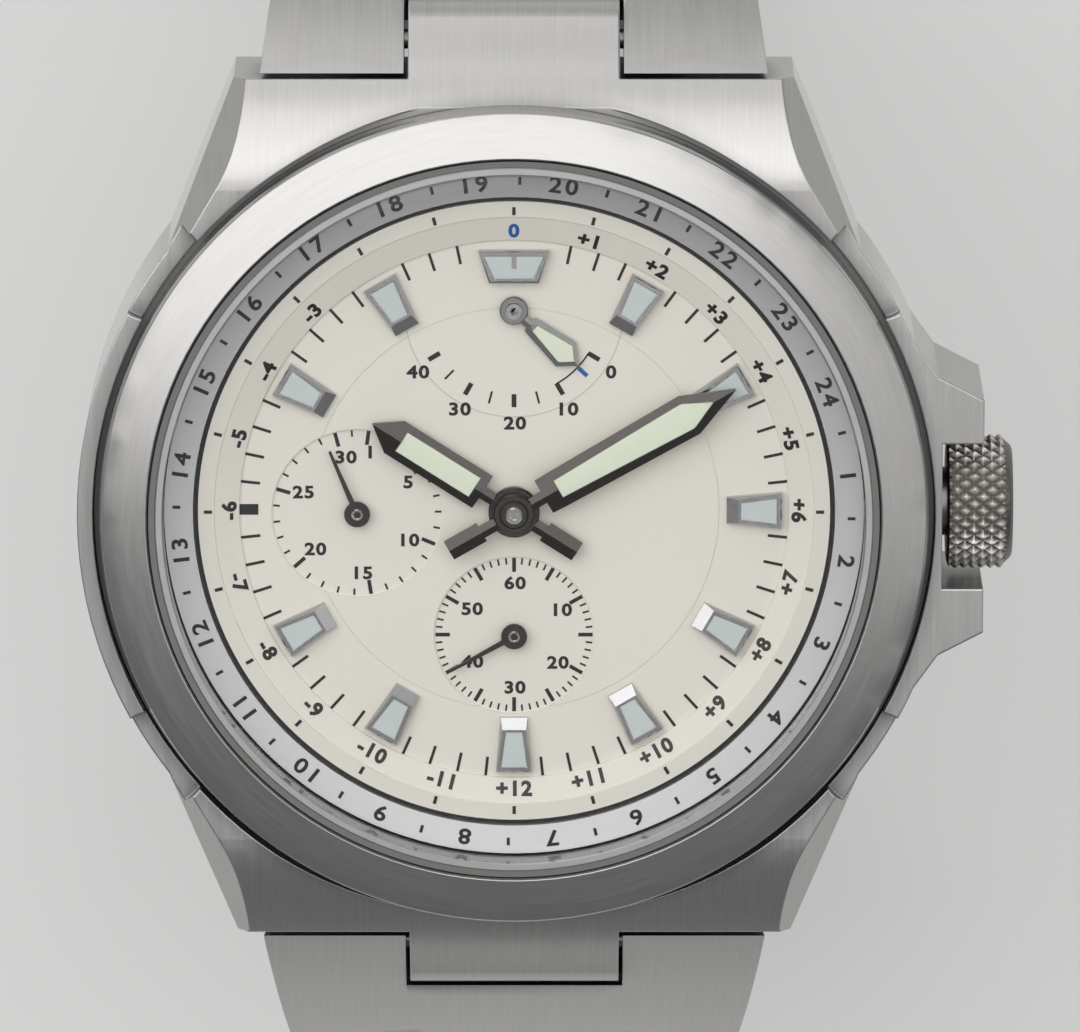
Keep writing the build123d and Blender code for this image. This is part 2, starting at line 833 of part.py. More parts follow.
reserve_rim = 0.2
thin_top_z = thin_hand_z + thin_thick
with BuildPart() as reserve_hand:
    add(spoke(arrow_half(0), reserve_angle, thin_hand_z, thin_thick, reserve_place))
    reserve_neck = both_sides([
        (reserve_neck_width / 2, 0),
        (reserve_neck_width / 2, reserve_waist + reserve_rim),
    ])
    add(spoke(reserve_neck, reserve_angle, thin_hand_z, thin_thick, reserve_place))
    add(upright(reserve_hub_radius, thin_hand_z, thin_top_z, reserve_place))
    add(upright(thin_pin_radius, pivot_floor, thin_pin_tip_z, reserve_place))
    add(spoke(arrow_half(reserve_rim), reserve_angle, thin_top_z - lume_sink, lume_sink, reserve_place),
        mode=Mode.SUBTRACT)
save("reserve_hand", reserve_hand.part)

with BuildPart() as reserve_lume:
    add(spoke(arrow_half(reserve_rim), reserve_angle, thin_top_z - lume_sink, lume_sink, reserve_place))
save("reserve_lume", reserve_lume.part)


# Thin subdial hands, each on its own arbor
thin_hands = {
    "date_hand": (date_place, date_angle, date_hand_length),
    "seconds_hand": (seconds_place, seconds_angle, seconds_hand_length),
}
for name, (place, angle, length) in thin_hands.items():
    with BuildPart() as thin_hand:
        add(spoke(both_sides([(thin_root_width / 2, 0), (thin_tip_width / 2, length)]),
                  angle, thin_hand_z, thin_thick, place))
        add(upright(thin_hub_radius, thin_hand_z, thin_top_z, place))
        add(upright(thin_pin_radius, pivot_floor, thin_pin_tip_z, place))
    save(name, thin_hand.part)


def gear(radius, teeth, low, high, place=(0, 0), turn=0.0):
    """A flat wheel with pointed teeth, drawn as one outline round its axis."""
    depth = radius * tooth_depth_share
    outline = []
    for tooth in range(teeth):
        for step in (0, *tooth_tip_shares):
            reach = radius if step else radius - depth
            angle = radians(turn + 360 * (tooth + step) / teeth)
            outline.append((place[0] + reach * cos(angle), place[1] + reach * sin(angle)))
    with BuildPart() as wheel:
        with BuildSketch(level(low)):
            with BuildLine():
                Polyline(outline, close=True)
            make_face()
        extrude(amount=high - low)
    return wheel.part


# Motion work under the dial: cannon pinion, minute wheel and hour wheel
motion_high_top = motion_high_z + wheel_thick
motion_low_top = motion_low_z + wheel_thick
with BuildPart() as cannon_pinion:
    add(upright(bearing_radius, bearing_floor, motion_low_z))
    add(gear(cannon_radius, cannon_teeth, motion_low_z, motion_low_top))
    add(upright(cannon_radius * (1 - tooth_depth_share), motion_low_top, minute_hand_z))
    add(upright(cannon_tip_radius, minute_hand_z, pinion_tip_z))
save("cannon_pinion", cannon_pinion.part)

with BuildPart() as hour_wheel:
    add(gear(hour_wheel_radius, hour_wheel_teeth, motion_high_z, motion_high_top))
    add(upright(hour_tube_radius, motion_high_z, hour_hand_z + hand_thick))
    add(upright(cannon_radius + running_gap, motion_high_z, hour_hand_z + hand_thick), mode=Mode.SUBTRACT)
save("hour_wheel", hour_wheel.part)

minute_wheel_place = clock(minute_wheel_angle, minute_wheel_distance)
with BuildPart() as minute_wheel:
    add(gear(minute_wheel_radius, minute_wheel_teeth, motion_low_z, motion_low_top, minute_wheel_place))
    add(gear(minute_pinion_radius, minute_pinion_teeth, motion_low_top, motion_high_top, minute_wheel_place))
    add(upright(pivot_radius, pivot_floor, motion_low_z, minute_wheel_place))
save("minute_wheel", minute_wheel.part)


# Main plate with the bearing holes and the stem's hole
stem_hole_x = stem_inner_x - crown_wall
with BuildPart() as main_plate:
    add(upright(plate_radius, plate_floor, plate_top))
    with BuildSketch(level(plate_floor)):
        Circle(bearing_radius + running_gap)
        with Locations(minute_wheel_place):
            Circle(pivot_radius + running_gap)
        with Locations(date_place, seconds_place, reserve_place):
            Circle(thin_pin_radius + running_gap)
        with Locations(barrel_place, balance_place):
            Circle(pivot_radius + running_gap)
    extrude(amount=plate_top - plate_floor, mode=Mode.SUBTRACT)
    with BuildSketch(Plane.YZ.offset(stem_hole_x)):
        with Locations((0, ring_z + crown_z)):
            Circle(stem_radius + running_gap)
    extrude(amount=plate_radius, mode=Mode.SUBTRACT)
save("main_plate", main_plate.part)

with BuildPart() as movement_holder:
    add(upright(movement_bore_radius, holder_floor, dial_ledge_z))
    add(upright(plate_radius, holder_floor, dial_ledge_z), mode=Mode.SUBTRACT)
    with BuildSketch(Plane.YZ.offset(plate_radius - overrun)):
        with Locations((0, ring_z + crown_z)):
            Circle(stem_radius + side_gap)
    extrude(amount=movement_bore_radius, mode=Mode.SUBTRACT)
save("movement_holder", movement_holder.part)


# Mainspring barrel with its teeth and arbor
barrel_low = plate_floor - seat_gap - barrel_high
with BuildPart() as mainspring_barrel:
    drum_radius = barrel_drum_radius * (1 - tooth_depth_share)
    add(upright(drum_radius, barrel_low, plate_floor - seat_gap, barrel_place))
    add(gear(barrel_drum_radius, hour_wheel_teeth, barrel_low, barrel_low + wheel_thick, barrel_place))
    add(upright(pivot_radius, bridge_floor, pivot_floor, barrel_place))
save("mainspring_barrel", mainspring_barrel.part)


# Balance wheel: a rim on two spokes, on its staff
balance_low = plate_floor - barrel_high * half_share
with BuildPart() as balance_wheel:
    with BuildSketch(level(balance_low)):
        with Locations(balance_place):
            Circle(balance_radius)
            Circle(balance_radius - balance_rim, mode=Mode.SUBTRACT)
            Rectangle(2 * balance_radius - balance_rim, balance_spoke)
            Circle(balance_rim)
    extrude(amount=wheel_thick)
    add(upright(staff_radius, bridge_floor, pivot_floor, balance_place))
save("balance_wheel", balance_wheel.part)


# Train bridge and balance cock, standing on the main plate
bridge_angles = (20.0, 280.0)
cock_angle = 100.0
pillar_radius = screw_head_radius * pillar_share


def foot(angle, radius=pillar_radius):
    """Pillar under a bridge, from the plate's underside to the bridge's floor."""
    place = clock(angle, screw_circle)
    return upright(radius, bridge_floor, plate_floor, place)


with BuildPart() as train_bridge:
    with BuildSketch(level(bridge_floor)):
        Circle(plate_radius - side_gap)
        with Locations((0, -plate_radius)):
            Rectangle(2 * plate_radius, 2 * plate_radius, mode=Mode.SUBTRACT)
        with Locations(barrel_place):
            Circle(pivot_radius + running_gap, mode=Mode.SUBTRACT)
        with Locations(*[clock(a, screw_circle) for a in bridge_angles]):
            Circle(pillar_radius)
    extrude(amount=bridge_top - bridge_floor)
    for angle in bridge_angles:
        add(foot(angle))
save("train_bridge", train_bridge.part)

cock_foot = clock(cock_angle, screw_circle)
cock_run = (cock_foot[0] - balance_place[0], cock_foot[1] - balance_place[1])
cock_turn = degrees(atan2(cock_run[1], cock_run[0]))
cock_middle = (balance_place[0] + cock_run[0] / 2, balance_place[1] + cock_run[1] / 2)
with BuildPart() as balance_cock:
    with BuildSketch(level(bridge_floor)):
        with Locations(Location((cock_middle[0], cock_middle[1], 0), (0, 0, cock_turn))):
            Rectangle(sqrt(cock_run[0] ** 2 + cock_run[1] ** 2), 2 * pillar_radius)
        with Locations(balance_place):
            Circle(pillar_radius * cock_eye_share)
        with Locations(cock_foot):
            Circle(pillar_radius)
        with Locations(balance_place):
            Circle(staff_radius + running_gap, mode=Mode.SUBTRACT)
    extrude(amount=bridge_top - bridge_floor)
    add(foot(cock_angle))
save("balance_cock", balance_cock.part)

# Bridge screws: cheese heads standing on the bridges
with BuildPart() as movement_screws:
    for angle in (*bridge_angles, cock_angle):
        place = clock(angle, screw_circle)
        add(upright(screw_head_radius, bridge_floor - screw_head_high, bridge_floor, place))
save("movement_screws", movement_screws.part)


# Winding rotor: a thin half disc with a heavy rim, on a ball bearing at the centre
with BuildPart() as rotor:
    with BuildSketch(level(rotor_top - rotor_thick)):
        Circle(rotor_radius)
        with Locations((0, rotor_radius)):
            Rectangle(2 * rotor_radius, 2 * rotor_radius, mode=Mode.SUBTRACT)
        Circle(rotor_bearing_radius + balance_rim * 2)
        Circle(rotor_bearing_radius, mode=Mode.SUBTRACT)
    extrude(amount=rotor_thick)
    with BuildSketch(level(rotor_top - rotor_weight_thick)):
        Circle(rotor_radius)
        Circle(rotor_weight_inner_radius, mode=Mode.SUBTRACT)
        with Locations((0, rotor_radius)):
            Rectangle(2 * rotor_radius, 2 * rotor_radius, mode=Mode.SUBTRACT)
    extrude(amount=rotor_weight_thick)
save("rotor", rotor.part)

rotor_bearing = ring_part(rotor_bearing_bore, rotor_bearing_radius, rotor_top - rotor_thick, rotor_top)
save("rotor_bearing", rotor_bearing.part)

with BuildPart() as rotor_post:
    add(upright(rotor_bearing_bore - running_gap, rotor_top - rotor_thick, bridge_floor))
    add(upright(rotor_bearing_bore + running_gap * 2, bridge_floor - seat_gap, bridge_floor))
save("rotor_post", rotor_post.part)


# Case back: a disc with a threaded wall and notches for its key
with BuildPart() as case_back:
    add(upright(back_radius, back_floor, back_top))
    back_edges = case_back.faces().sort_by(Axis.Z)[0].outer_wire().edges()
    chamfer(back_edges, length=back_edge_bevel)
    add(ring_part(back_wall_radius, back_thread_radius, back_top, back_top + back_thread_high).part)
    with BuildSketch(level(back_floor)):
        with PolarLocations(back_radius, back_notch_count):
            Rectangle(2 * back_notch_depth, back_notch_width)
    extrude(amount=back_notch_high, mode=Mode.SUBTRACT)
save("case_back", case_back.part)

gasket_top = back_top + back_gasket_thick
case_back_gasket = ring_part(back_gasket_inner_radius, back_gasket_radius, back_top, gasket_top)
save("case_back_gasket", case_back_gasket.part)


# Crown with its fluted grip, the stem and the gasket that seals it in the tube
crown_x = guard_floor_x + crown_gap
with BuildPart() as crown:
    grip = []
    for tooth in range(knurl_count):
        for step in (0, *knurl_tip_shares):
            reach = crown_radius if step else crown_radius - knurl_depth
            angle = radians(360 * (tooth + step) / knurl_count)
            grip.append((reach * cos(angle), ring_z + crown_z + reach * sin(angle)))
    with BuildSketch(Plane.YZ.offset(crown_x)):
        with BuildLine():
            Polyline(grip, close=True)
        make_face()
    extrude(amount=crown_length - crown_dome)
    with BuildSketch(Plane.YZ.offset(crown_x + crown_length - crown_dome)):
        with Locations((0, ring_z + crown_z)):
            Circle(crown_radius - 2 * knurl_depth)
    extrude(amount=crown_dome, taper=crown_dome_angle)
    with BuildSketch(Plane.YZ.offset(crown_x)):
        with Locations((0, ring_z + crown_z)):
            Circle(tube_outer_radius + running_gap)
            Circle(stem_radius, mode=Mode.SUBTRACT)
    extrude(amount=crown_skirt_depth, mode=Mode.SUBTRACT)
    with BuildSketch(Plane.YZ.offset(crown_x)):
        with Locations((0, ring_z + crown_z)):
            Circle(stem_radius)
    extrude(amount=crown_skirt_depth, mode=Mode.SUBTRACT)
save("crown", crown.part)

with BuildPart() as winding_stem:
    with BuildSketch(Plane.YZ.offset(stem_inner_x)):
        with Locations((0, ring_z + crown_z)):
            Circle(stem_radius)
    extrude(amount=crown_x + crown_skirt_depth - stem_inner_x)
save("winding_stem", winding_stem.part)

gasket_x = tube_inner_x + overrun
with BuildPart() as crown_gasket:
    with BuildSketch(Plane.YZ.offset(gasket_x)):
        with Locations((0, ring_z + crown_z)):
            Circle(tube_inner_radius - running_gap)
            Circle(stem_radius + running_gap, mode=Mode.SUBTRACT)
    extrude(amount=stem_radius)
save("crown_gasket", crown_gasket.part)


def side_plane(index, side):
    """Plane of a link's side view: its x runs along the link, its y points out of the loop."""
    y, z = pins[index]
    slope = radians(link_slopes[index])
    along = (0, side * cos(slope), -sin(slope))
    return Plane(origin=(0, side * y, z), x_dir=along, z_dir=(side, 0, 0))


def plan_plane(index, side):
    """Plane of a link's plan view: its x runs across the bracelet, its y along the link."""
    y, z = pins[index]
    slope = radians(link_slopes[index])
    out = (0, side * sin(slope), cos(slope))
    return Plane(origin=(0, side * y, z), x_dir=(side, 0, 0), z_dir=out)


def lead_nose():
    """Upper front corner of the first link, in its own side view."""
    slope = radians(link_slopes[0])
    back = lug_front_y - lug_pin_y
    rise = lug_front_z + lug_pin_drop
    return (back * cos(slope) - rise * sin(slope), back * sin(slope) + rise * cos(slope))


def link_profile(index):
    """Side view of a link: round ends on the pins and a gently crowned back."""
    r = link_round
    with BuildSketch() as outline:
        with BuildLine():
            if index:
                ThreePointArc((0, r), (-r, 0), (0, -r))
                ThreePointArc((0, r), (link_pitch / 2, r + link_crown), (link_pitch, r))
                Line((0, -r), (link_pitch, -r))
            else:
                nose = lead_nose()
                slope = radians(link_slopes[0])
                root = lug_pin_y - lug_front_y
                front = (-root * cos(slope), -root * sin(slope))
                low = (root * sin(slope), -root * cos(slope))
                turn = radians(link_slopes[0] / 2)
                mid = (root * sin(slope - turn) - root * cos(slope - turn), -root)
                reach = sqrt(mid[0] ** 2 + mid[1] ** 2)
                middle = (mid[0] * root / reach, mid[1] * root / reach)
                Line(nose, front)
                ThreePointArc(front, middle, low)
                Line(low, (link_pitch / 2, -r))
                Line((link_pitch / 2, -r), (link_pitch, -r))
                Spline(nose, (link_pitch * half_share, r + link_crown), (link_pitch, r))
            ThreePointArc((link_pitch, r), (link_pitch + r, 0), (link_pitch, -r))
        make_face()
    return outline.sketch


def link_part(index, side):
    """A link with fork legs round the pin before it and a tongue round the pin after it."""
    lead = link_width(index)
    end = link_width(index + 1)
    tongue = tongue_width if index == 0 else link_width(index) * tongue_share
    slot = tongue + 2 * side_gap
    next_tongue = link_width(index + 1) * tongue_share
    crotch = (tongue_round if index == 0 else link_round) + wrap_gap
    clear = link_round + wrap_gap
    far = link_pitch + link_round + overrun
    near = -2 * lug_pin_drop if index == 0 else -link_round - overrun
    taper = (lead - end) / 2 / link_pitch
    reach = max(lead, link_lead_width)
    with BuildPart() as link:
        with BuildSketch(side_plane(index, side)):
            add(link_profile(index))
        extrude(amount=reach, both=True)
        with BuildSketch(plan_plane(index, side)):
            with BuildLine():
                Polyline(
                    (-lead / 2 + taper * near, near),
                    (-slot / 2, near),
                    (-slot / 2, 0),
                    (slot / 2, 0),
                    (slot / 2, near),
                    (lead / 2 - taper * near, near),
                    (end / 2, link_pitch),
                    (next_tongue / 2, link_pitch),
                    (next_tongue / 2, far),
                    (-next_tongue / 2, far),
                    (-next_tongue / 2, link_pitch),
                    (-end / 2, link_pitch),
                    close=True,
                )
            make_face()
        extrude(amount=2 * lug_pin_drop, both=True, mode=Mode.INTERSECT)
        # Hollow behind the fork, round the previous tongue
        with BuildSketch(side_plane(index, side)):
            Circle(crotch)
        extrude(amount=slot / 2, both=True, mode=Mode.SUBTRACT)
        # Hollows beside the tongue, round the next link's legs
        for hand in (1, -1):
            with BuildSketch(side_plane(index, side).offset(hand * next_tongue / 2)):
                with Locations((link_pitch, 0)):
                    Circle(clear)
            extrude(amount=hand * reach, mode=Mode.SUBTRACT)
        with BuildSketch(side_plane(index, side)):
            Circle(pin_radius + running_gap)
            with Locations((link_pitch, 0)):
                Circle(pin_radius)
        extrude(amount=reach, both=True, mode=Mode.SUBTRACT)
    return link.part


def pin_part(index, side, length):
    """A pin across the bracelet."""
    y, z = pins[index]
    with BuildPart() as pin:
        with BuildSketch(Plane.YZ.offset(-length / 2)):
            with Locations((side * y, z)):
                Circle(pin_radius)
        extrude(amount=length)
    return pin.part


with BuildPart() as lug_pins:
    for side in (1, -1):
        add(pin_part(0, side, link_width(0) - 2 * pin_recess))
save("lug_pins", lug_pins.part)

sides = {"12": 1, "6": -1}
end_pin_lengths = {"12": cover_width / 2, "6": cover_width - 2 * side_gap}
for hour, side in sides.items():
    for index in range(link_count):
        last = index == link_count - 1
        pin_length = end_pin_lengths[hour] if last else link_width(index + 1) - 2 * pin_recess
        pair = [link_part(index, side), pin_part(index + 1, side, pin_length)]
        save(f"link_{hour}_{index + 1}", Compound(children=pair))


# Clasp cover: a tray with low walls, ears for the blade's hinge and holes for the end pin
wall_x = cover_width / 2 - cover_wall
ear_x = blade_width / 2 + side_gap
cover_front_y = end_pin_y - link_round - wrap_gap
cover_length = cover_front_y + end_pin_y + cover_tail
cover_place = (0, cover_front_y - cover_length / 2)
with BuildPart() as clasp_cover:
    with BuildSketch(Plane.XY):
        with Locations(cover_place):
            Rectangle(cover_width, cover_length)
    extrude(amount=cover_high)
    fillet(clasp_cover.edges().filter_by(Axis.Z), radius=2 * cover_edge_round)
    chamfer(clasp_cover.faces().sort_by(Axis.Z)[0].edges(), length=cover_edge_round / 2)
    with BuildSketch(Plane.XY.offset(cover_floor_thick)):
        with Locations(cover_place):
            Rectangle(2 * wall_x, cover_length + 2 * overrun)
    extrude(amount=cover_high, mode=Mode.SUBTRACT)
    # Ears of the blade hinge
    with BuildSketch(Plane.YZ.offset(ear_x)):
        with Locations((clasp_hinge_y, clasp_hinge_z)):
            Circle(blade_knuckle)
        with Locations((clasp_hinge_y, clasp_hinge_z / 2)):
            Rectangle(2 * blade_knuckle, clasp_hinge_z - cover_edge_round)
    extrude(amount=ear_width)
    mirror(about=Plane.YZ)
    with BuildSketch(Plane.YZ):
        with Locations((clasp_hinge_y, clasp_hinge_z)):
            Circle(pin_radius)
    extrude(amount=ear_x + ear_width, both=True, mode=Mode.SUBTRACT)
    # End pin holes for setting the length, and button holes
    with BuildSketch(Plane.YZ):
        for step in range(adjust_hole_count):
            with Locations((-end_pin_y + step * adjust_hole_pitch, end_pin_z)):
                Circle(pin_radius + running_gap)
        with Locations((button_y, button_z)):
            Circle(button_radius + running_gap)
    extrude(amount=cover_width, both=True, mode=Mode.SUBTRACT)
save("clasp_cover", clasp_cover.part)


def cross_pin(y, z, length):
    """A hinge pin of the clasp."""
    with BuildPart() as pin:
        with BuildSketch(Plane.YZ.offset(-length / 2)):
            with Locations((y, z)):
                Circle(pin_radius)
        extrude(amount=length)
    return pin.part


save("clasp_cover_pin", cross_pin(clasp_hinge_y, clasp_hinge_z, 2 * (ear_x + ear_width)))
save("clasp_fold_pin", cross_pin(clasp_fold_y, clasp_fold_z, blade_width))


# Middle blade, folded flat over the cover's floor
fold_clear = fold_knuckle + wrap_gap
with BuildPart() as clasp_middle_blade:
    with BuildSketch(Plane.YZ):
        with Locations((clasp_hinge_y, clasp_hinge_z)):
            Circle(blade_knuckle)
        with Locations(((clasp_hinge_y + clasp_fold_y) / 2, blade_level + blade_thick / 2)):
            Rectangle(clasp_hinge_y - clasp_fold_y, blade_thick)
    extrude(amount=blade_width / 2, both=True)
    with BuildSketch(Plane.YZ):
        with Locations((clasp_fold_y, clasp_fold_z)):
            Circle(fold_clear)
    extrude(amount=blade_width / 2, both=True, mode=Mode.SUBTRACT)
    with BuildSketch(Plane.YZ):
        with Locations((clasp_fold_y, clasp_fold_z)):
            Circle(fold_knuckle)
        with Locations((clasp_fold_y + fold_clear / 2, blade_level + blade_thick / 2)):
            Rectangle(fold_clear + overrun, blade_thick)
    extrude(amount=fold_tongue_width / 2, both=True)
    with BuildSketch(Plane.YZ):
        with Locations((clasp_fold_y, clasp_fold_z)):
            Circle(pin_radius)
        with Locations((clasp_hinge_y, clasp_hinge_z)):
            Circle(pin_radius + running_gap)
    extrude(amount=blade_width, both=True, mode=Mode.SUBTRACT)
save("clasp_middle_blade", clasp_middle_blade.part)


# Inner blade, folded over the middle blade, with a hook at its free end
with BuildPart() as clasp_inner_blade:
    with BuildSketch(Plane.YZ):
        with Locations((clasp_fold_y, clasp_fold_z)):
            Circle(fold_knuckle)
        with Locations(((inner_blade_end_y + clasp_fold_y) / 2, inner_blade_level + blade_thick / 2)):
            Rectangle(inner_blade_end_y - clasp_fold_y, blade_thick)
    extrude(amount=blade_width / 2, both=True)
    with BuildSketch(Plane.YZ):
        with Locations((clasp_fold_y, clasp_fold_z)):
            Circle(fold_clear)
    extrude(amount=fold_tongue_width / 2 + side_gap, both=True, mode=Mode.SUBTRACT)
    with BuildSketch(Plane.YZ):
        with Locations((clasp_fold_y, clasp_fold_z)):
            Circle(pin_radius + running_gap)
    extrude(amount=blade_width, both=True, mode=Mode.SUBTRACT)
save("clasp_inner_blade", clasp_inner_blade.part)


# Push buttons in the cover's walls, each with a collar inside the wall
for hand, name in ((1, "clasp_button_right"), (-1, "clasp_button_left")):
    with BuildPart() as button:
        with BuildSketch(Plane.YZ.offset(hand * (wall_x - button_collar_thick))):
            with Locations((button_y, button_z)):
                Circle(button_radius)
        extrude(amount=hand * (button_collar_thick + cover_wall + button_proud))
        with BuildSketch(Plane.YZ.offset(hand * (wall_x - button_collar_thick))):
            with Locations((button_y, button_z)):
                Circle(button_collar_radius)
        extrude(amount=hand * button_collar_thick)
    save(name, button.part)
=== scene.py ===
# %% [markdown]
# # A world time watch, dressed in Blender
#
# The watch comes in as a fixed frame of CAD pieces: case, bezel, dial, hands, bracelet and clasp.
# This notebook gives each visible piece its finish and adds what is too fine for the CAD: the
# diamond knurl of the crown, printed scales and numerals, softened metal edges and brushed steel.
# All lengths are metres, and the factor MM turns millimetres into them.

import json
import math

import bmesh
import bpy
import numpy as np
from mathutils import Matrix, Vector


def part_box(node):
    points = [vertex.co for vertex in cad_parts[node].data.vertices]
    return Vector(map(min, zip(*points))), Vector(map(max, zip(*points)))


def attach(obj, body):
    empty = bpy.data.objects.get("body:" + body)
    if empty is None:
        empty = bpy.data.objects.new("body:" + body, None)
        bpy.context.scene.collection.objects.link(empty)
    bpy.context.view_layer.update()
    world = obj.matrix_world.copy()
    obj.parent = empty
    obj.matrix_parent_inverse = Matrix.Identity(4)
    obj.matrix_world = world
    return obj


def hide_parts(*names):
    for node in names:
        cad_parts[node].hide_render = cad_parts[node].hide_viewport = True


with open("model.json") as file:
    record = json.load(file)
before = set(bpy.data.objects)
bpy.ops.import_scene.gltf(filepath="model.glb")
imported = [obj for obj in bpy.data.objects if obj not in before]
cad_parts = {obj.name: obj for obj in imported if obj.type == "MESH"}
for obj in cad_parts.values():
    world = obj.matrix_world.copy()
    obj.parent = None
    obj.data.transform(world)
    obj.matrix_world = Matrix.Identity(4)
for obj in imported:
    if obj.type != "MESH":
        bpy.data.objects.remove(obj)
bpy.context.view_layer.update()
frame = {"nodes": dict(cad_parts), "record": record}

MM = 0.001


def node_box(name):
    """Lowest and highest corner of a CAD node, as two arrays in metres."""
    low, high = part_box(name)
    return np.array(low), np.array(high)


RING_Z = node_box("hour_ring")[1][2]
print("hour ring top", RING_Z)

# %% [markdown]
# ## Camera
#
# The photograph looks at the dial from the 12 o'clock side, twelve degrees off the vertical, with
# a long lens. The hour ring's centre lies at a known pixel and one millimetre there spans a known
# number of pixels, and these two facts fix the camera's place for any distance.

# %% Camera
PHOTO_WIDTH, PHOTO_HEIGHT = 1080, 1032
RING_PIXEL = (514.0, 513.0)
PIXELS_PER_MM = 19.71
TILT = math.radians(12.0)
DISTANCE = 0.65
SENSOR = 36.0


def place_matrix(right, up, back, place):
    """The matrix whose first three columns are unit axes and whose last one is a place."""
    matrix = np.eye(4)
    matrix[:3] = np.column_stack([right, up, back, place])
    return Matrix(matrix.tolist())


right = np.array([1.0, 0.0, 0.0])
up = np.array([0.0, math.cos(TILT), -math.sin(TILT)])
back = np.array([0.0, math.sin(TILT), math.cos(TILT)])
shift_right = (PHOTO_WIDTH / 2 - RING_PIXEL[0]) / PIXELS_PER_MM * MM
shift_up = (RING_PIXEL[1] - PHOTO_HEIGHT / 2) / PIXELS_PER_MM * MM
target = np.array([0.0, 0.0, RING_Z]) + right * shift_right + up * shift_up

camera_data = bpy.data.cameras.new("camera")
camera_data.sensor_width = SENSOR
camera_data.lens = SENSOR * DISTANCE / (PHOTO_WIDTH / PIXELS_PER_MM * MM)
camera_data.clip_start = 0.01
camera = bpy.data.objects.new("camera", camera_data)
bpy.context.collection.objects.link(camera)
camera.matrix_world = place_matrix(right, up, back, target + back * DISTANCE)
bpy.context.scene.camera = camera
bpy.context.scene.view_settings.view_transform = "Standard"
print("lens", round(camera_data.lens, 1), "mm at", DISTANCE, "m")

# %% [markdown]
# ## Shader maths as Python expressions
#
# A material is a small program. The class below wraps one output socket of a node, so that
# a + b, a * b or 1 - a add the Math node that does the sum. One more helper adds any other node.

# %% Sockets that add and multiply


class Wire:
    """An output socket that takes part in Python sums."""

    def __init__(self, tree, socket):
        self.tree = tree
        self.socket = socket

    def sum(self, operation, *others):
        """Add a Math node that works on this socket and the other values, in that order."""
        return node(self.tree, "ShaderNodeMath", {"operation": operation}, [self, *others])

    def twin(self, output):
        """Another output of the same node, by its place or its name."""
        return Wire(self.tree, self.socket.node.outputs[output])

    def __add__(self, other):
        return self.sum("ADD", other)

    def __radd__(self, other):
        return self.sum("ADD", other)

    def __sub__(self, other):
        return self.sum("SUBTRACT", other)

    def __rsub__(self, other):
        return (self * -1.0).sum("ADD", other)

    def __mul__(self, other):
        return self.sum("MULTIPLY", other)

    def __rmul__(self, other):
        return self.sum("MULTIPLY", other)

    def __truediv__(self, other):
        return self.sum("DIVIDE", other)

    def __pow__(self, other):
        return self.sum("POWER", other)

    def clamp(self):
        """Hold the value between 0 and 1."""
        return node(self.tree, "ShaderNodeClamp", {}, [self])


def plug(tree, socket, value):
    """Link a wire to an input socket, or set the socket's own value."""
    if isinstance(value, Wire):
        tree.links.new(value.socket, socket)
    else:
        socket.default_value = value


def node(tree, kind, settings, values, output=0):
    """Add a node: its settings first, then its inputs by order or by name, and wrap one output."""
    made = tree.nodes.new(kind)
    for name, value in settings.items():
        setattr(made, name, value)
    pairs = values.items() if isinstance(values, dict) else enumerate(values)
    for key, value in pairs:
        plug(tree, made.inputs[key], value)
    return Wire(tree, made.outputs[output])


def start_material(name, metallic=0.0):
    """A new node material, its tree and its Principled shader."""
    material = bpy.data.materials.new(name)
    material.use_nodes = True
    tree = material.node_tree
    shader = tree.nodes["Principled BSDF"]
    shader.inputs["Metallic"].default_value = metallic
    return material, tree, shader


def coordinates(tree, kind):
    """Texture coordinates of a kind, Object or Normal: three wires, and the vector itself."""
    vector = node(tree, "ShaderNodeTexCoord", {}, [], kind)
    first = node(tree, "ShaderNodeSeparateXYZ", {}, [vector])
    return [first, first.twin(1), first.twin(2)], vector


def noise(tree, vector, scale, detail=2.0, roughness=0.5):
    """Smooth noise from 0 to 1, with most values near a half."""
    values = {"Vector": vector, "Scale": scale, "Detail": detail, "Roughness": roughness}
    return node(tree, "ShaderNodeTexNoise", {}, values)


def mix_colors(tree, factor, first, second):
    """Blend two colours by a wire: the colour sockets of a Mix node have the places 6 and 7."""
    return node(tree, "ShaderNodeMix", {"data_type": "RGBA"}, {0: factor, 6: first, 7: second}, 2)


def shade(color, factor):
    """A colour times a factor, with each channel held between 0 and 1."""
    return [min(1.0, max(0.0, channel * factor)) for channel in color[:3]] + [1.0]


def axis_distance(a, b):
    """How far a point lies from an axis: the square root of a * a + b * b."""
    return (a * a + b * b).sum("SQRT")


def bump(tree, shader, height, distance, edge=0.0):
    """Feed a height in whole units of distance, in metres, to the normal; edge rounds sharp edges."""
    values = {"Strength": 1.0, "Distance": distance, "Height": height}
    if edge:
        values["Normal"] = node(tree, "ShaderNodeBevel", {"samples": 8}, [edge])
    plug(tree, shader.inputs["Normal"], node(tree, "ShaderNodeBump", {}, values))
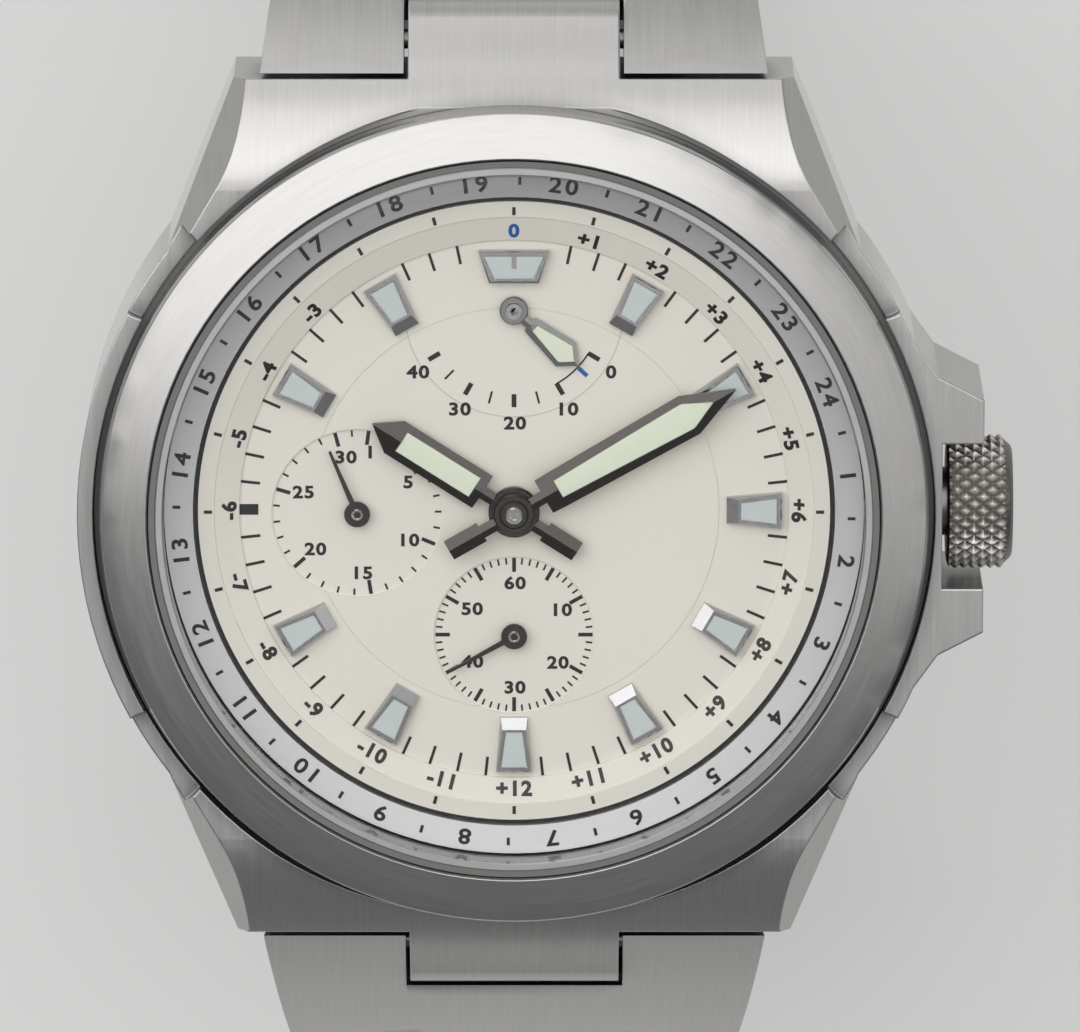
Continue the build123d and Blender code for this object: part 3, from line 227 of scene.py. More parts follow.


# %% [markdown]
# ## Brushed steel
#
# Brushing is thousands of fine scratches that all run one way. Noise that is squeezed hard across
# the scratches and stretched along them gives their height. The case and the bracelet are brushed
# along the wrist, so their noise is squeezed along X. The bezel is turned, so its noise is
# squeezed along the radius. A second, coarser noise makes some scratches deeper than others.
# Painted shade darkens the colour where two pieces nearly meet, in the corners and gaps that Ambient
# Occlusion finds.

# %% Steel finishes
STEEL = (0.50, 0.492, 0.483, 1.0)
STEEL_PALE = (0.70, 0.69, 0.68, 1.0)
STEEL_DARK = (0.42, 0.41, 0.40, 1.0)
FINE_SCRATCHES, COARSE_SCRATCHES = 21000.0, 7000.0
SCRATCH_RUN, TURN_RUN = 260.0, 7.0
SCRATCH_DEPTH = 1.6e-6
SCRATCH_TONES = (0.82, 1.12)
POLISHED_ROUGHNESS = 0.12
# Reach, steepness and tone of the painted shade in corners and gaps.
CORNER_REACH, CORNER_POWER, CORNER_TONE = 0.0011, 1.6, 0.16


def scratches(tree, across, along_a, along_b):
    """Two layers of stretched noise, fine and coarse, as one height from 0 to 1."""
    layers = []
    for scale, detail, roughness in ((FINE_SCRATCHES, 2.0, 0.6), (COARSE_SCRATCHES, 1.0, 0.5)):
        squeezed = node(tree, "ShaderNodeCombineXYZ", {}, [across * scale, along_a, along_b])
        layers.append(noise(tree, squeezed, 1.0, detail, roughness))
    fine, coarse = layers
    return fine * 0.6 + coarse * 0.4


def brush_finish(tree, shader, height, polish, color, roughness, edge=0.0, alone=False):
    """Scratches where polish is 0, a mirror finish where polish is 1, and painted shade in corners and
    gaps.
    """
    brushed = 1.0 - polish
    uneven = (height - 0.5) * brushed
    dark, light = SCRATCH_TONES
    tint = mix_colors(tree, uneven * 1.2 + 0.5, shade(color, dark), shade(color, light))
    # Ambient Occlusion darkens the colour in corners and gaps between pieces: painted shade.
    openness = node(tree, "ShaderNodeAmbientOcclusion", {"samples": 6, "only_local": alone},
                    {"Distance": CORNER_REACH}, "AO")
    shaded_tint = mix_colors(tree, openness ** CORNER_POWER, shade(color, CORNER_TONE), tint)
    plug(tree, shader.inputs["Base Color"], shaded_tint)
    rough = brushed * (roughness - POLISHED_ROUGHNESS) + POLISHED_ROUGHNESS + uneven * 0.14
    plug(tree, shader.inputs["Roughness"], rough)
    bump(tree, shader, height * brushed, SCRATCH_DEPTH, edge)


def lengthwise_steel(name, roughness=0.34, polish_from=0.75, edge=0.0):
    """Steel brushed along the wrist; faces that look sideways are polished."""
    material, tree, shader = start_material(name, 1.0)
    (x, y, z), _ = coordinates(tree, "Object")
    (normal_x, _, _), _ = coordinates(tree, "Normal")
    polish = ((normal_x.sum("ABSOLUTE") - polish_from) * 8.0).clamp()
    height = scratches(tree, x, y * SCRATCH_RUN, z * SCRATCH_RUN)
    brush_finish(tree, shader, height, polish, STEEL, roughness, edge)
    return material


def turned_steel(name, color=STEEL, polish_above=1.0):
    """Steel brushed in circles round the dial's axis, and polished above one radius."""
    material, tree, shader = start_material(name, 1.0)
    (x, y, z), _ = coordinates(tree, "Object")
    radius = axis_distance(x, y)
    height = scratches(tree, radius + z * 0.7, x / radius * TURN_RUN, y / radius * TURN_RUN)
    polish = ((radius - polish_above) * 20000.0).clamp()
    brush_finish(tree, shader, height, polish, color, 0.32, alone=True)
    return material


# %% [markdown]
# ## Other finishes
#
# Plated and gilt pieces, lacquer, rubber, silver and luminous paint have no scratches to see. Each
# gets a grain at its real scale, which moves the tone, the roughness and the bump a little, so
# that no surface is one flat colour.

# %% Metal, paint, silver, knurl, luminous paint and glass


def plain_metal(name, color, roughness):
    """A smooth metal with a faint grain, for turned, plated and gilt pieces."""
    material, tree, shader = start_material(name, 1.0)
    _, place = coordinates(tree, "Object")
    speckle = noise(tree, place, 900.0, 3.0, 0.6)
    tint = mix_colors(tree, speckle, shade(color, 0.9), shade(color, 1.08))
    plug(tree, shader.inputs["Base Color"], tint)
    plug(tree, shader.inputs["Roughness"], speckle * 0.05 + (roughness - 0.025))
    bump(tree, shader, noise(tree, place, 8100.0, 2.0, 0.6), 1.0e-6)
    return material


def paint(name, color, roughness=0.42, grain=5200.0, depth=1.2e-6, variation=0.03):
    """Lacquer, plastic or rubber: a grain too fine to see singly and a slight change of tone."""
    material, tree, shader = start_material(name)
    _, place = coordinates(tree, "Object")
    slow = noise(tree, place, 60.0, 2.0, 0.5)
    low, high = shade(color, 1 - variation), shade(color, 1 + variation)
    plug(tree, shader.inputs["Base Color"], mix_colors(tree, slow, low, high))
    fine = noise(tree, place, grain, 3.0, 0.65)
    plug(tree, shader.inputs["Roughness"], fine * 0.16 + (roughness - 0.08))
    bump(tree, shader, fine, depth)
    return material


def coned_silver(name, color, slope):
    """A silvered ring whose satin top leans towards the dial's centre: its bump rises outwards."""
    material, tree, shader = start_material(name, 0.75)
    (x, y, _), place = coordinates(tree, "Object")
    grain = noise(tree, place, 5200.0, 3.0, 0.65)
    slow = noise(tree, place, 60.0, 2.0, 0.5)
    tint = mix_colors(tree, slow, shade(color, 0.97), shade(color, 1.03))
    plug(tree, shader.inputs["Base Color"], tint)
    plug(tree, shader.inputs["Roughness"], grain * 0.1 + 0.38)
    bump(tree, shader, axis_distance(x, y) * (slope * 1000.0) + grain * 0.0008, 0.001)
    return material


def knurl_steel(name, color, axis_z, valley, crest):
    """Steel with painted shade in its knurl's valleys: the tone rises with the distance from the axis.
    """
    material, tree, shader = start_material(name, 1.0)
    (_, y, z), place = coordinates(tree, "Object")
    share = ((axis_distance(y, z - axis_z) - valley) * (1.0 / (crest - valley))).clamp()
    # Painted shade: the colour falls to a fifth of itself in the knurl's valleys.
    plug(tree, shader.inputs["Base Color"], mix_colors(tree, share, shade(color, 0.2), color))
    speckle = noise(tree, place, 3000.0, 2.0, 0.6)
    plug(tree, shader.inputs["Roughness"], speckle * 0.1 + 0.34)
    bump(tree, shader, speckle, 2.0e-6)
    return material


def lume(name, color):
    """Luminous paint: a grainy, slightly sunken fill under its own soft skin."""
    material, tree, shader = start_material(name)
    _, place = coordinates(tree, "Object")
    grain = noise(tree, place, 14000.0, 2.0, 0.7)
    slow = noise(tree, place, 900.0, 2.0, 0.5)
    tint = mix_colors(tree, grain * 0.5 + slow * 0.5, shade(color, 0.93), shade(color, 1.05))
    plug(tree, shader.inputs["Base Color"], tint)
    plug(tree, shader.inputs["Roughness"], grain * 0.2 + 0.45)
    bump(tree, shader, grain, 2.0e-6)
    return material


def glass(name):
    """The crystal as a thin film: its alpha is the share of light that its faces send back.

    That share is 0.018 where a face looks at the eye, and rises with the fifth power of facing.
    """
    material, tree, shader = start_material(name, 1.0)
    _, place = coordinates(tree, "Object")
    shader.inputs["Base Color"].default_value = (0.96, 0.98, 1.0, 1.0)
    facing = node(tree, "ShaderNodeLayerWeight", {}, [0.5], "Facing")
    haze = noise(tree, place, 45.0, 2.0, 0.5)
    plug(tree, shader.inputs["Roughness"], haze * 0.02 + 0.01)
    plug(tree, shader.inputs["Alpha"], (facing ** 5.0 * 0.75 + 0.018).clamp())
    return material


# %% [markdown]
# ## Finishes by slot
#
# The record names one material slot for each CAD node. Every node first gets its slot's finish,
# and the visible metal pieces are then replaced by copies whose edges are softened.

# %% Give every node its slot's finish
CREAM = (0.82, 0.79, 0.71, 1.0)
BEZEL_TONE = (0.475, 0.467, 0.458, 1.0)
finishes = {
    "brushed_case_steel": lengthwise_steel("brushed_case_steel", edge=0.14 * MM),
    "brushed_bezel_steel": turned_steel("brushed_bezel_steel", BEZEL_TONE, 20.9 * MM),
    "case_back_steel": turned_steel("case_back_steel"),
    "brushed_link_steel": lengthwise_steel("brushed_link_steel"),
    "polished_blade_steel": lengthwise_steel("polished_blade_steel", 0.3, 0.4),
    "pin_steel": plain_metal("pin_steel", STEEL_DARK, 0.4),
    "crown_steel": plain_metal("crown_steel", (0.52, 0.49, 0.455, 1.0), 0.3),
    "crystal_glass": glass("crystal_glass"),
    "gasket_rubber": paint("gasket_rubber", (0.17, 0.167, 0.163, 1.0), 0.6),
    "spring_steel": plain_metal("spring_steel", STEEL_DARK, 0.3),
    "magnet_metal": plain_metal("magnet_metal", STEEL, 0.2),
    "satin_rim": plain_metal("satin_rim", STEEL, 0.45),
    "hour_ring_silver": coned_silver("hour_ring_silver", (0.58, 0.58, 0.575, 1.0), 0.13),
    "zone_ring_cream": paint("zone_ring_cream", (0.80, 0.77, 0.69, 1.0), 0.42),
    "dial_cream": paint("dial_cream", CREAM, 0.45, grain=3600.0, depth=2.0e-6),
    "marker_metal": plain_metal("marker_metal", (0.50, 0.49, 0.50, 1.0), 0.24),
    "marker_lume": lume("marker_lume_paint", (0.60, 0.66, 0.645, 1.0)),
    "hand_lume": lume("hand_lume_paint", (0.78, 0.84, 0.67, 1.0)),
    "hand_gunmetal": plain_metal("hand_gunmetal", (0.085, 0.078, 0.074, 1.0), 0.3),
    "reserve_hand_metal": plain_metal("reserve_hand_metal", (0.27, 0.27, 0.265, 1.0), 0.45),
    "movement_plate": turned_steel("movement_plate", STEEL_PALE),
    "holder_plastic": paint("holder_plastic", (0.75, 0.75, 0.73, 1.0)),
    "gear_brass": plain_metal("gear_brass", (0.72, 0.55, 0.26, 1.0), 0.28),
    "rotor_metal": turned_steel("rotor_metal", STEEL_PALE),
}
record = frame["record"]
slot_of = {row["node"]: row["material_slot"] for row in record["subparts"]}
body_of = {name: body for body, names in record["behaviour"]["bodies"].items() for name in names}
for name, item in frame["nodes"].items():
    for material_slot in item.material_slots:
        material_slot.material = finishes[slot_of[name]]
print("finished nodes", len(frame["nodes"]))

# %% [markdown]
# ## New pieces
#
# A new piece is made from arrays of points and faces. It rides on the body that carries it.

# %% Make a piece from arrays


def make_piece(name, points, faces, material, body, slot):
    """A mesh object at the origin, from points in metres, riding on a body."""
    mesh = bpy.data.meshes.new(name)
    mesh.from_pydata(points.tolist(), [], faces)
    mesh.validate()
    mesh.materials.append(material)
    made = bpy.data.objects.new(name, mesh)
    bpy.context.collection.objects.link(made)
    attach(made, body)
    return made


def shade_turns(mesh, angle):
    """Shade a mesh smoothly, apart from edges that turn by more than an angle in degrees."""
    mesh.shade_smooth()
    mesh.set_sharp_from_angle(angle=math.radians(angle))


def final_mesh(made):
    """The mesh that an object shows once its modifiers or its letters have been worked out."""
    return bpy.data.meshes.new_from_object(made.evaluated_get(bpy.context.evaluated_depsgraph_get()))


def grid_faces(rows, columns, close_rows=False, close_columns=False):
    """Quads of a grid of points whose index is row * columns + column."""
    r = np.arange(rows if close_rows else rows - 1)[:, None]
    c = np.arange(columns if close_columns else columns - 1)[None, :]
    r2, c2 = (r + 1) % rows, (c + 1) % columns
    quads = np.stack([r * columns + c, r * columns + c2, r2 * columns + c2, r2 * columns + c], axis=-1)
    return [tuple(quad) for quad in quads.reshape(-1, 4).tolist()]


# %% [markdown]
# ## Softened metal edges
#
# No real metal edge is perfectly sharp: a thin bevel catches a line of light. A CAD node's mesh is
# left alone, so a copy is merged, its flat faces are joined up, and a Bevel modifier rounds the
# edges that turn by more than a set angle. The copy then stands for the node.

# %% Replace a node by a copy with soft edges
EDGE_ANGLE = 32.0
EDGE_WIDTHS = {"bezel": 0.05, "date_hand": 0.02, "seconds_hand": 0.02, "clasp_cover": 0.12,
               "case_back": 0.08, "clasp_button_right": 0.1, "clasp_button_left": 0.1}
LINK_EDGE = 0.14


def soften(name, width):
    """Replace a CAD node by a merged copy with small bevels on its sharp edges."""
    work = bmesh.new()
    work.from_mesh(frame["nodes"][name].data)
    bmesh.ops.remove_doubles(work, verts=work.verts, dist=2e-6)
    bmesh.ops.dissolve_limit(work, angle_limit=math.radians(0.05), verts=work.verts, edges=work.edges)
    bmesh.ops.recalc_face_normals(work, faces=work.faces)
    merged = bpy.data.meshes.new(name + "_soft")
    work.to_mesh(merged)
    work.free()
    shade_turns(merged, EDGE_ANGLE - 4.0)
    made = bpy.data.objects.new(name + "_soft", merged)
    bpy.context.collection.objects.link(made)
    bevel = made.modifiers.new("edge", "BEVEL")
    bevel.width = width
    bevel.segments = 2
    bevel.limit_method = "ANGLE"
    bevel.angle_limit = math.radians(EDGE_ANGLE)
    bevel.use_clamp_overlap = True
    bevel.harden_normals = True
    bevel.miter_outer = "MITER_ARC"
    shaped = final_mesh(made)
    made.modifiers.clear()
    made.data = shaped
    shaped.name = name + "_soft"
    shaped.materials.clear()
    shaped.materials.append(finishes[slot_of[name]])
    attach(made, body_of[name])
    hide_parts(name)


for side_name in ("12", "6"):
    for number in range(1, 7):
        EDGE_WIDTHS[f"link_{side_name}_{number}"] = LINK_EDGE
for name, width in EDGE_WIDTHS.items():
    soften(name, width * MM)
print("softened", len(EDGE_WIDTHS), "pieces")

# %% [markdown]
# ## Printed scales
#
# Print on a watch dial is a layer of ink a few hundredths of a millimetre thick. Each mark becomes
# a thin prism: a bar along a radius for a tick, an annulus for a circle, and flat digits for a
# numeral. Ticks are gathered into one mesh for each scale, so that a scale is one piece.

# %% Ink and print helpers
INK_THICK = 0.02 * MM
black_ink = paint("black_ink", (0.012, 0.012, 0.013, 1.0), 0.42, variation=0.2)
blue_ink = paint("blue_ink", (0.015, 0.12, 0.42, 1.0), 0.42, variation=0.1)
grey_ink = paint("grey_ink", (0.62, 0.60, 0.54, 1.0), 0.5, variation=0.05)


def turn_places(points, angle, centre=(0.0, 0.0)):
    """Turn flat points clockwise about the origin, by degrees, then shift them by a centre."""
    a = math.radians(angle)
    x, y = points[:, 0], points[:, 1]
    turned = np.stack([x * math.cos(a) + y * math.sin(a), y * math.cos(a) - x * math.sin(a)], axis=1)
    return turned + np.array(centre)


def prism(outline, low, thick):
    """Points and faces of a flat prism over a closed outline, low at each corner or one number."""
    n = len(outline)
    heights = np.full(n, low) if np.isscalar(low) else np.asarray(low)
    bottom = np.column_stack([outline, heights])
    top = np.column_stack([outline, heights + thick])
    faces = [tuple(range(n, 2 * n)), tuple(range(n - 1, -1, -1))]
    faces += [(i, (i + 1) % n, n + (i + 1) % n, n + i) for i in range(n)]
    return np.vstack([bottom, top]), faces


def gather(parts):
    """Join lists of points and faces into one."""
    points, faces, start = [], [], 0
    for some_points, some_faces in parts:
        points.append(some_points)
        faces += [tuple(start + i for i in f) for f in some_faces]
        start += len(some_points)
    return np.vstack(points), faces


def tick(angle, inner, outer, width, surface, centre=(0.0, 0.0)):
    """A tick along a radius, in millimetres; surface gives the height at a radius in metres."""
    half = width / 2
    outline = np.array([[-half, inner], [half, inner], [half, outer], [-half, outer]])
    low = [surface(r) for r in outline[:, 1]]
    return prism(turn_places(outline * MM, angle, np.array(centre) * MM), low, INK_THICK)


def circle_line(radius, width, surface, centre=(0.0, 0.0), steps=180, start=0.0, sweep=360.0):
    """A printed circle or an arc of one, as a ring of thin boxes: four lines round its section."""
    closed = sweep >= 360.0
    count = steps if closed else steps + 1
    angles = np.radians(start + np.linspace(0.0, sweep, count, endpoint=not closed))
    rings = []
    for r in (radius - width / 2, radius + width / 2):
        flat = np.column_stack([np.sin(angles), np.cos(angles)]) * r * MM + np.array(centre) * MM
        for lift in (0.0, INK_THICK):
            rings.append(np.column_stack([flat, np.full(count, surface(r) + lift)]))
    points = np.vstack([rings[0], rings[1], rings[3], rings[2]])
    faces = grid_faces(4, count, close_rows=True, close_columns=closed)
    if not closed:
        faces.append(tuple(row * count for row in range(4)))
        faces.append(tuple(row * count + count - 1 for row in (3, 2, 1, 0)))
    return points, faces


def flat_height(height_mm):
    """A surface at one height above the hour ring's top, in millimetres."""
    return lambda radius: RING_Z + height_mm * MM


ZONE_RADII = (13.97, 15.2, 15.24, 16.05)
ZONE_HEIGHTS = (-0.74, -0.3, -0.22, -0.22)


def zone_height(radius):
    """The zone ring's numbers stand on a slope that faces the dial, its ticks on a flat rim."""
    return RING_Z + np.interp(radius, ZONE_RADII, ZONE_HEIGHTS) * MM


DIGIT_SHARE = 0.73


def numeral(text, size, place, turn, height, bold=0.03, stretch=1.18, spacing=1.12):
    """A printed number, centred on a place and turned clockwise by degrees.

    Its digits are size millimetres high, which is a fixed share of the font's own size. The
    height is one level in metres, or a function of the radius in millimetres.
    """
    curve = bpy.data.curves.new("print", "FONT")
    curve.body = text
    curve.align_x = "CENTER"
    curve.align_y = "CENTER"
    curve.size = size * MM / DIGIT_SHARE
    curve.offset = bold * MM
    curve.space_character = spacing
    curve.extrude = INK_THICK / 2
    curve.resolution_u = 3
    holder = bpy.data.objects.new("print", curve)
    bpy.context.collection.objects.link(holder)
    mesh = final_mesh(holder)
    bpy.data.objects.remove(holder)
    bpy.data.curves.remove(curve)
    points = np.empty(len(mesh.vertices) * 3)
    mesh.vertices.foreach_get("co", points)
    points = points.reshape(-1, 3)
    middle = (points[:, :2].min(axis=0) + points[:, :2].max(axis=0)) / 2
    flat = (points[:, :2] - middle) * np.array([stretch, 1.0])
    flat = turn_places(flat, turn, np.array(place) * MM)
    faces = [tuple(face.vertices) for face in mesh.polygons]
    level = height(np.hypot(flat[:, 0], flat[:, 1]) / MM) if callable(height) else height
    points = np.column_stack([flat, points[:, 2] + level + INK_THICK / 2])
    bpy.data.meshes.remove(mesh)
    return points, faces


def clock_place(angle, radius):
    """A flat place at a clockwise angle from 12, in millimetres."""
    return radius * math.sin(math.radians(angle)), radius * math.cos(math.radians(angle))


def upright_turn(angle):
    """Numbers stand with their tops outwards in the upper half and inwards in the lower half."""
    return angle if angle >= 262.0 or angle <= 98.0 else angle + 180.0


# %% [markdown]
# ### Hour ring
#
# The 24 hours stand every fifteen degrees with their tops outwards all the way round, with a short
# tick between each pair. The ring turns with the bezel, so its print rides on the ring's own body.

# %% Hour ring print
HOUR_STEP = 15.0
RING_REST_TURN = 68.5
ring_top = flat_height(0.0)
hours = []
for hour in range(1, 25):
    angle = RING_REST_TURN + HOUR_STEP * (hour % 24)
    place = clock_place(angle, 17.05)
    hours.append(numeral(str(hour), 0.82, place, angle, RING_Z, 0.028, spacing=1.25))
    hours.append(tick(angle + HOUR_STEP / 2, 16.93, 17.33, 0.16, ring_top))
make_piece("hour_ring_print", *gather(hours), black_ink, "hour_ring", "hour_ring_silver")
print("hour ring marks", len(hours))

# %% [markdown]
# ### Zone ring and minute track
#
# The zone ring carries plain hour offsets from the zone at 12: 0 in blue at the top, then +1 to
# +12 clockwise and -11 to -3 after them.

# %% Zone ring and minute track
zones, zone_ticks = [], []
for step in range(24):
    angle = HOUR_STEP * step
    zone_ticks.append(tick(angle, 15.33, 15.74, 0.17, zone_height))
    offset = step if step <= 12 else step - 24
    if offset in (-2, -1):
        continue
    digits = "0" if offset == 0 else f"{offset:+d}"
    place = clock_place(angle, 14.47)
    made = numeral(digits, 0.72, place, upright_turn(angle), zone_height, 0.04, 1.1)
    if offset == 0:
        make_piece("zone_zero_print", *made, blue_ink, "case", "zone_ring_cream")
    else:
        zones.append(made)
make_piece("zone_ring_print", *gather(zones + zone_ticks), black_ink, "case", "zone_ring_cream")
# A black ring at the step between the hour ring and the zone ring is painted shade: it stands for the
# step's shaded wall.
step_shadow = circle_line(16.14, 0.17, flat_height(-0.45))
make_piece("step_shadow_line", *step_shadow, black_ink, "case", "zone_ring_cream")

DIAL_LEVEL, SUBDIAL_LEVEL = -0.9, -1.05
dial_top, subdial_top = flat_height(DIAL_LEVEL), flat_height(SUBDIAL_LEVEL)
BARE_MINUTES = (59, 0, 1, 5, 10, 15, 20, 25, 30, 35, 40, 45, 50, 55)
minute_track = [tick(6.0 * minute, 12.97, 13.96, 0.145, dial_top)
                for minute in range(60) if minute not in BARE_MINUTES]
minute_track.append(tick(270.0, 12.99, 13.98, 0.55, dial_top))
make_piece("minute_track", *gather(minute_track), black_ink, "case", "dial_cream")
print("zone numbers", len(zones) + 1, "minute ticks", len(minute_track))

# %% [markdown]
# ### Subdials
#
# The date runs from 1 to 31 round the left subdial, the seconds to 60 round the lower one, and
# the power reserve from 0 to 40 hours on an arc under the hand at 12.

# %% Subdial print
DATE_CENTRE, SECONDS_CENTRE, RESERVE_CENTRE = (-7.97, -0.2), (0.0, -6.55), (0.0, 10.35)
DATE_NUMBERS = (("30", 346, 457), ("1", 370, 452), ("5", 408, 482), ("10", 410, 540), ("15", 363, 573),
                ("20", 315, 549), ("25", 303, 492))
SECONDS_NUMBERS = (("60", 515, 583), ("10", 563, 610), ("20", 558, 663), ("30", 515, 688),
                   ("40", 472, 662), ("50", 472, 609))
RESERVE_NUMBERS = (("40", 418, 372), ("30", 460, 409), ("20", 515, 423), ("10", 569, 409),
                   ("0", 611, 372))
RESERVE_START, RESERVE_END = 121.0, 239.0


def photo_place(x_pixel, y_pixel, height_mm):
    """Where a pixel of the photograph lies on a level of the dial, in millimetres."""
    x = (x_pixel - RING_PIXEL[0]) / PIXELS_PER_MM
    y = ((RING_PIXEL[1] - y_pixel) / PIXELS_PER_MM + math.sin(TILT) * height_mm) / math.cos(TILT)
    return x, y


def level_numbers(rows, size, level):
    """Upright numbers on one level of the dial, from rows of (digits, pixel x, pixel y)."""
    return [numeral(digits, size, photo_place(x, y, level), 0.0, RING_Z + level * MM)
            for digits, x, y in rows]


def subdial_ticks(turns, long_turns, long_tick, short_tick, centre):
    """Ticks at clockwise turns round a subdial; a long or a short one is (inner, outer, width)."""
    return [tick(turn, *(long_tick if turn in long_turns else short_tick), subdial_top, centre)
            for turn in turns]


dates = [8.0 + 360.0 / 31.0 * day for day in range(31)]
long_dates = dates[:1] + dates[4::5]
sub_print = subdial_ticks(dates, long_dates, (3.55, 4.28, 0.19), (3.95, 4.28, 0.1), DATE_CENTRE)
sub_print += level_numbers(DATE_NUMBERS, 0.64, SUBDIAL_LEVEL)
seconds = [6.0 * second for second in range(60)]
sub_print += subdial_ticks(seconds, seconds[::5], (3.27, 4.0, 0.19), (3.67, 4.0, 0.09), SECONDS_CENTRE)
sub_print += level_numbers(SECONDS_NUMBERS, 0.64, SUBDIAL_LEVEL)
for part in range(17):
    angle = RESERVE_START + (RESERVE_END - RESERVE_START) / 16.0 * part
    if part % 4 == 0:
        sub_print.append(tick(angle, 4.38, 5.05, 0.24, dial_top, RESERVE_CENTRE))
    elif part % 2 == 0 and part > 2:
        sub_print.append(tick(angle, 4.38, 5.02, 0.1, dial_top, RESERVE_CENTRE))
sub_print += level_numbers(RESERVE_NUMBERS, 0.66, DIAL_LEVEL)
sub_print.append(circle_line(4.4, 0.08, dial_top, RESERVE_CENTRE, 12, RESERVE_START, 29.5))
make_piece("subdial_print", *gather(sub_print), black_ink, "case", "dial_cream")
low_reserve = tick(132.8, 4.46, 5.06, 0.22, dial_top, RESERVE_CENTRE)
make_piece("reserve_blue_tick", *low_reserve, blue_ink, "case", "dial_cream")
faint_arc = circle_line(5.55, 0.06, dial_top, RESERVE_CENTRE, 90, 100.0, 160.0)
make_piece("reserve_arc", *faint_arc, grey_ink, "case", "dial_cream")
print("subdial marks", len(sub_print))

# %% [markdown]
# ## Crown
#
# The crown's grip is a diamond knurl: two families of helical grooves cross and leave pyramids.
# With u along the crown's axis and v along its girth, the height of the grip is
# h(u, v) = min(w(u + v), w(u - v)), where w is a triangle wave between 0 and 1. The pyramids are
# cut off a little below their tips, as worn ones are.

# %% Crown
CROWN_AXIS_Z = RING_Z - 3.0 * MM
CROWN_RADIUS, CROWN_DOME, CROWN_CHAMFER = 3.42, 0.55, 0.12
KNURL_ROWS, KNURL_TEETH, KNURL_DEPTH, KNURL_CUT = 3.7, 29, 0.33, 0.84


def triangle_wave(phase):
    """A wave that falls from 1 to 0 and rises to 1 again while its phase grows by 1."""
    return np.abs((phase % 1.0) * 2.0 - 1.0)


def knurled_crown():
    """A solid of revolution about X whose girth carries the knurl; rows along X, columns round it.

    The radius is the crown's own, less a quarter ellipse at the dome, a chamfer at the case and
    the knurl's depth times 1 - h. The knurl fades out before the dome's flat top.
    """
    low, high = node_box("crown")
    start, end = low[0] / MM, high[0] / MM
    stations = np.concatenate([
        np.linspace(start, start + CROWN_CHAMFER, 3, endpoint=False),
        np.linspace(start + CROWN_CHAMFER, end - CROWN_DOME, 88, endpoint=False),
        end - CROWN_DOME + CROWN_DOME * np.sin(np.linspace(0.0, np.pi / 2, 12)),
    ])
    count = 360
    angles = np.linspace(0.0, 2 * np.pi, count, endpoint=False)
    u, v = np.meshgrid(stations, angles, indexing="ij")
    along = (u - start) / (end - start) * KNURL_ROWS
    girth = v / (2 * np.pi) * KNURL_TEETH
    height = np.minimum(triangle_wave(along + girth), triangle_wave(along - girth))
    height = np.minimum(height, KNURL_CUT) / KNURL_CUT
    ease = np.clip((end - u) / CROWN_DOME, 0.0, 1.0)
    base = CROWN_RADIUS - 0.5 * (1.0 - np.sqrt(np.clip(1.0 - (1.0 - ease) ** 2, 0.0, 1.0)))
    chamfer = np.clip((u - start) / CROWN_CHAMFER, 0.0, 1.0)
    cap_start = end - CROWN_DOME * 0.55
    fade = np.clip((cap_start - u) / 0.2, 0.0, 1.0) * chamfer
    radius = base - KNURL_DEPTH * (1.0 - height * fade) - CROWN_CHAMFER * (1.0 - chamfer)
    radius = np.where(u > cap_start, np.minimum(radius, base - 0.27), radius)
    points = np.stack([u, radius * np.cos(v), radius * np.sin(v)], axis=-1).reshape(-1, 3) * MM
    points[:, 2] += CROWN_AXIS_Z
    ends = np.array([[start * MM, 0.0, CROWN_AXIS_Z], [end * MM, 0.0, CROWN_AXIS_Z]])
    first_end, last = len(points), len(points) - count
    faces = grid_faces(len(stations), count, close_columns=True)
    faces += [(first_end, i, (i + 1) % count) for i in range(count)]
    faces += [(first_end + 1, last + (i + 1) % count, last + i) for i in range(count)]
    return np.vstack([points, ends]), faces


shaded_knurl = knurl_steel("knurl_steel", (0.86, 0.82, 0.77, 1.0), CROWN_AXIS_Z, 3.1 * MM, 3.38 * MM)
crown_piece = make_piece("crown_knurled", *knurled_crown(), shaded_knurl, "crown", "crown_steel")
shade_turns(crown_piece.data, 28.0)
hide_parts("crown")
print("crown faces", len(crown_piece.data.polygons))

# %% [markdown]
# ## Applied markers
#
# Each marker is a small metal tray. Its rim is bevelled, its inner end falls away in one long
# polished facet that flashes when it faces the lamp, and luminous paint fills the tray. Five
# closed outlines, one above the other, give the tray: foot, shoulder, rim, pocket and floor.

# %% Trays and their fill
MARKER_FOOT, MARKER_TOP, MARKER_FLOOR = -0.9, -0.35, -0.16
MARKER_ANGLES = (30, 60, 90, 120, 150, 180, 210, 240, 300, 330)
PLAIN_MARKER = (10.8, 13.6, 0.675, 0.925, 0.58, 0.22)
TOP_MARKER = (11.8, 13.45, 1.26, 1.8, 0.1, 0.24)
FACET_FALL = math.tan(math.radians(25.0))


def spoke_points(across, along, height, angle, centre=(0.0, 0.0)):
    """Places given across and along a direction that is turned clockwise from 12, in metres."""
    flat = turn_places(np.column_stack([across, along]) * MM, angle, np.array(centre) * MM)
    return np.column_stack([flat, RING_Z + np.asarray(height) * MM])


def trapezoid(inner, outer, inner_half, outer_half, inset, inner_inset):
    """Corners of a trapezoid drawn in by an inset, and by another one at its inner end."""
    across = np.array([-inner_half + inset, inner_half - inset, outer_half - inset, -outer_half + inset])
    along = np.array([inner + inner_inset, inner + inner_inset, outer - inset, outer - inset])
    return across, along


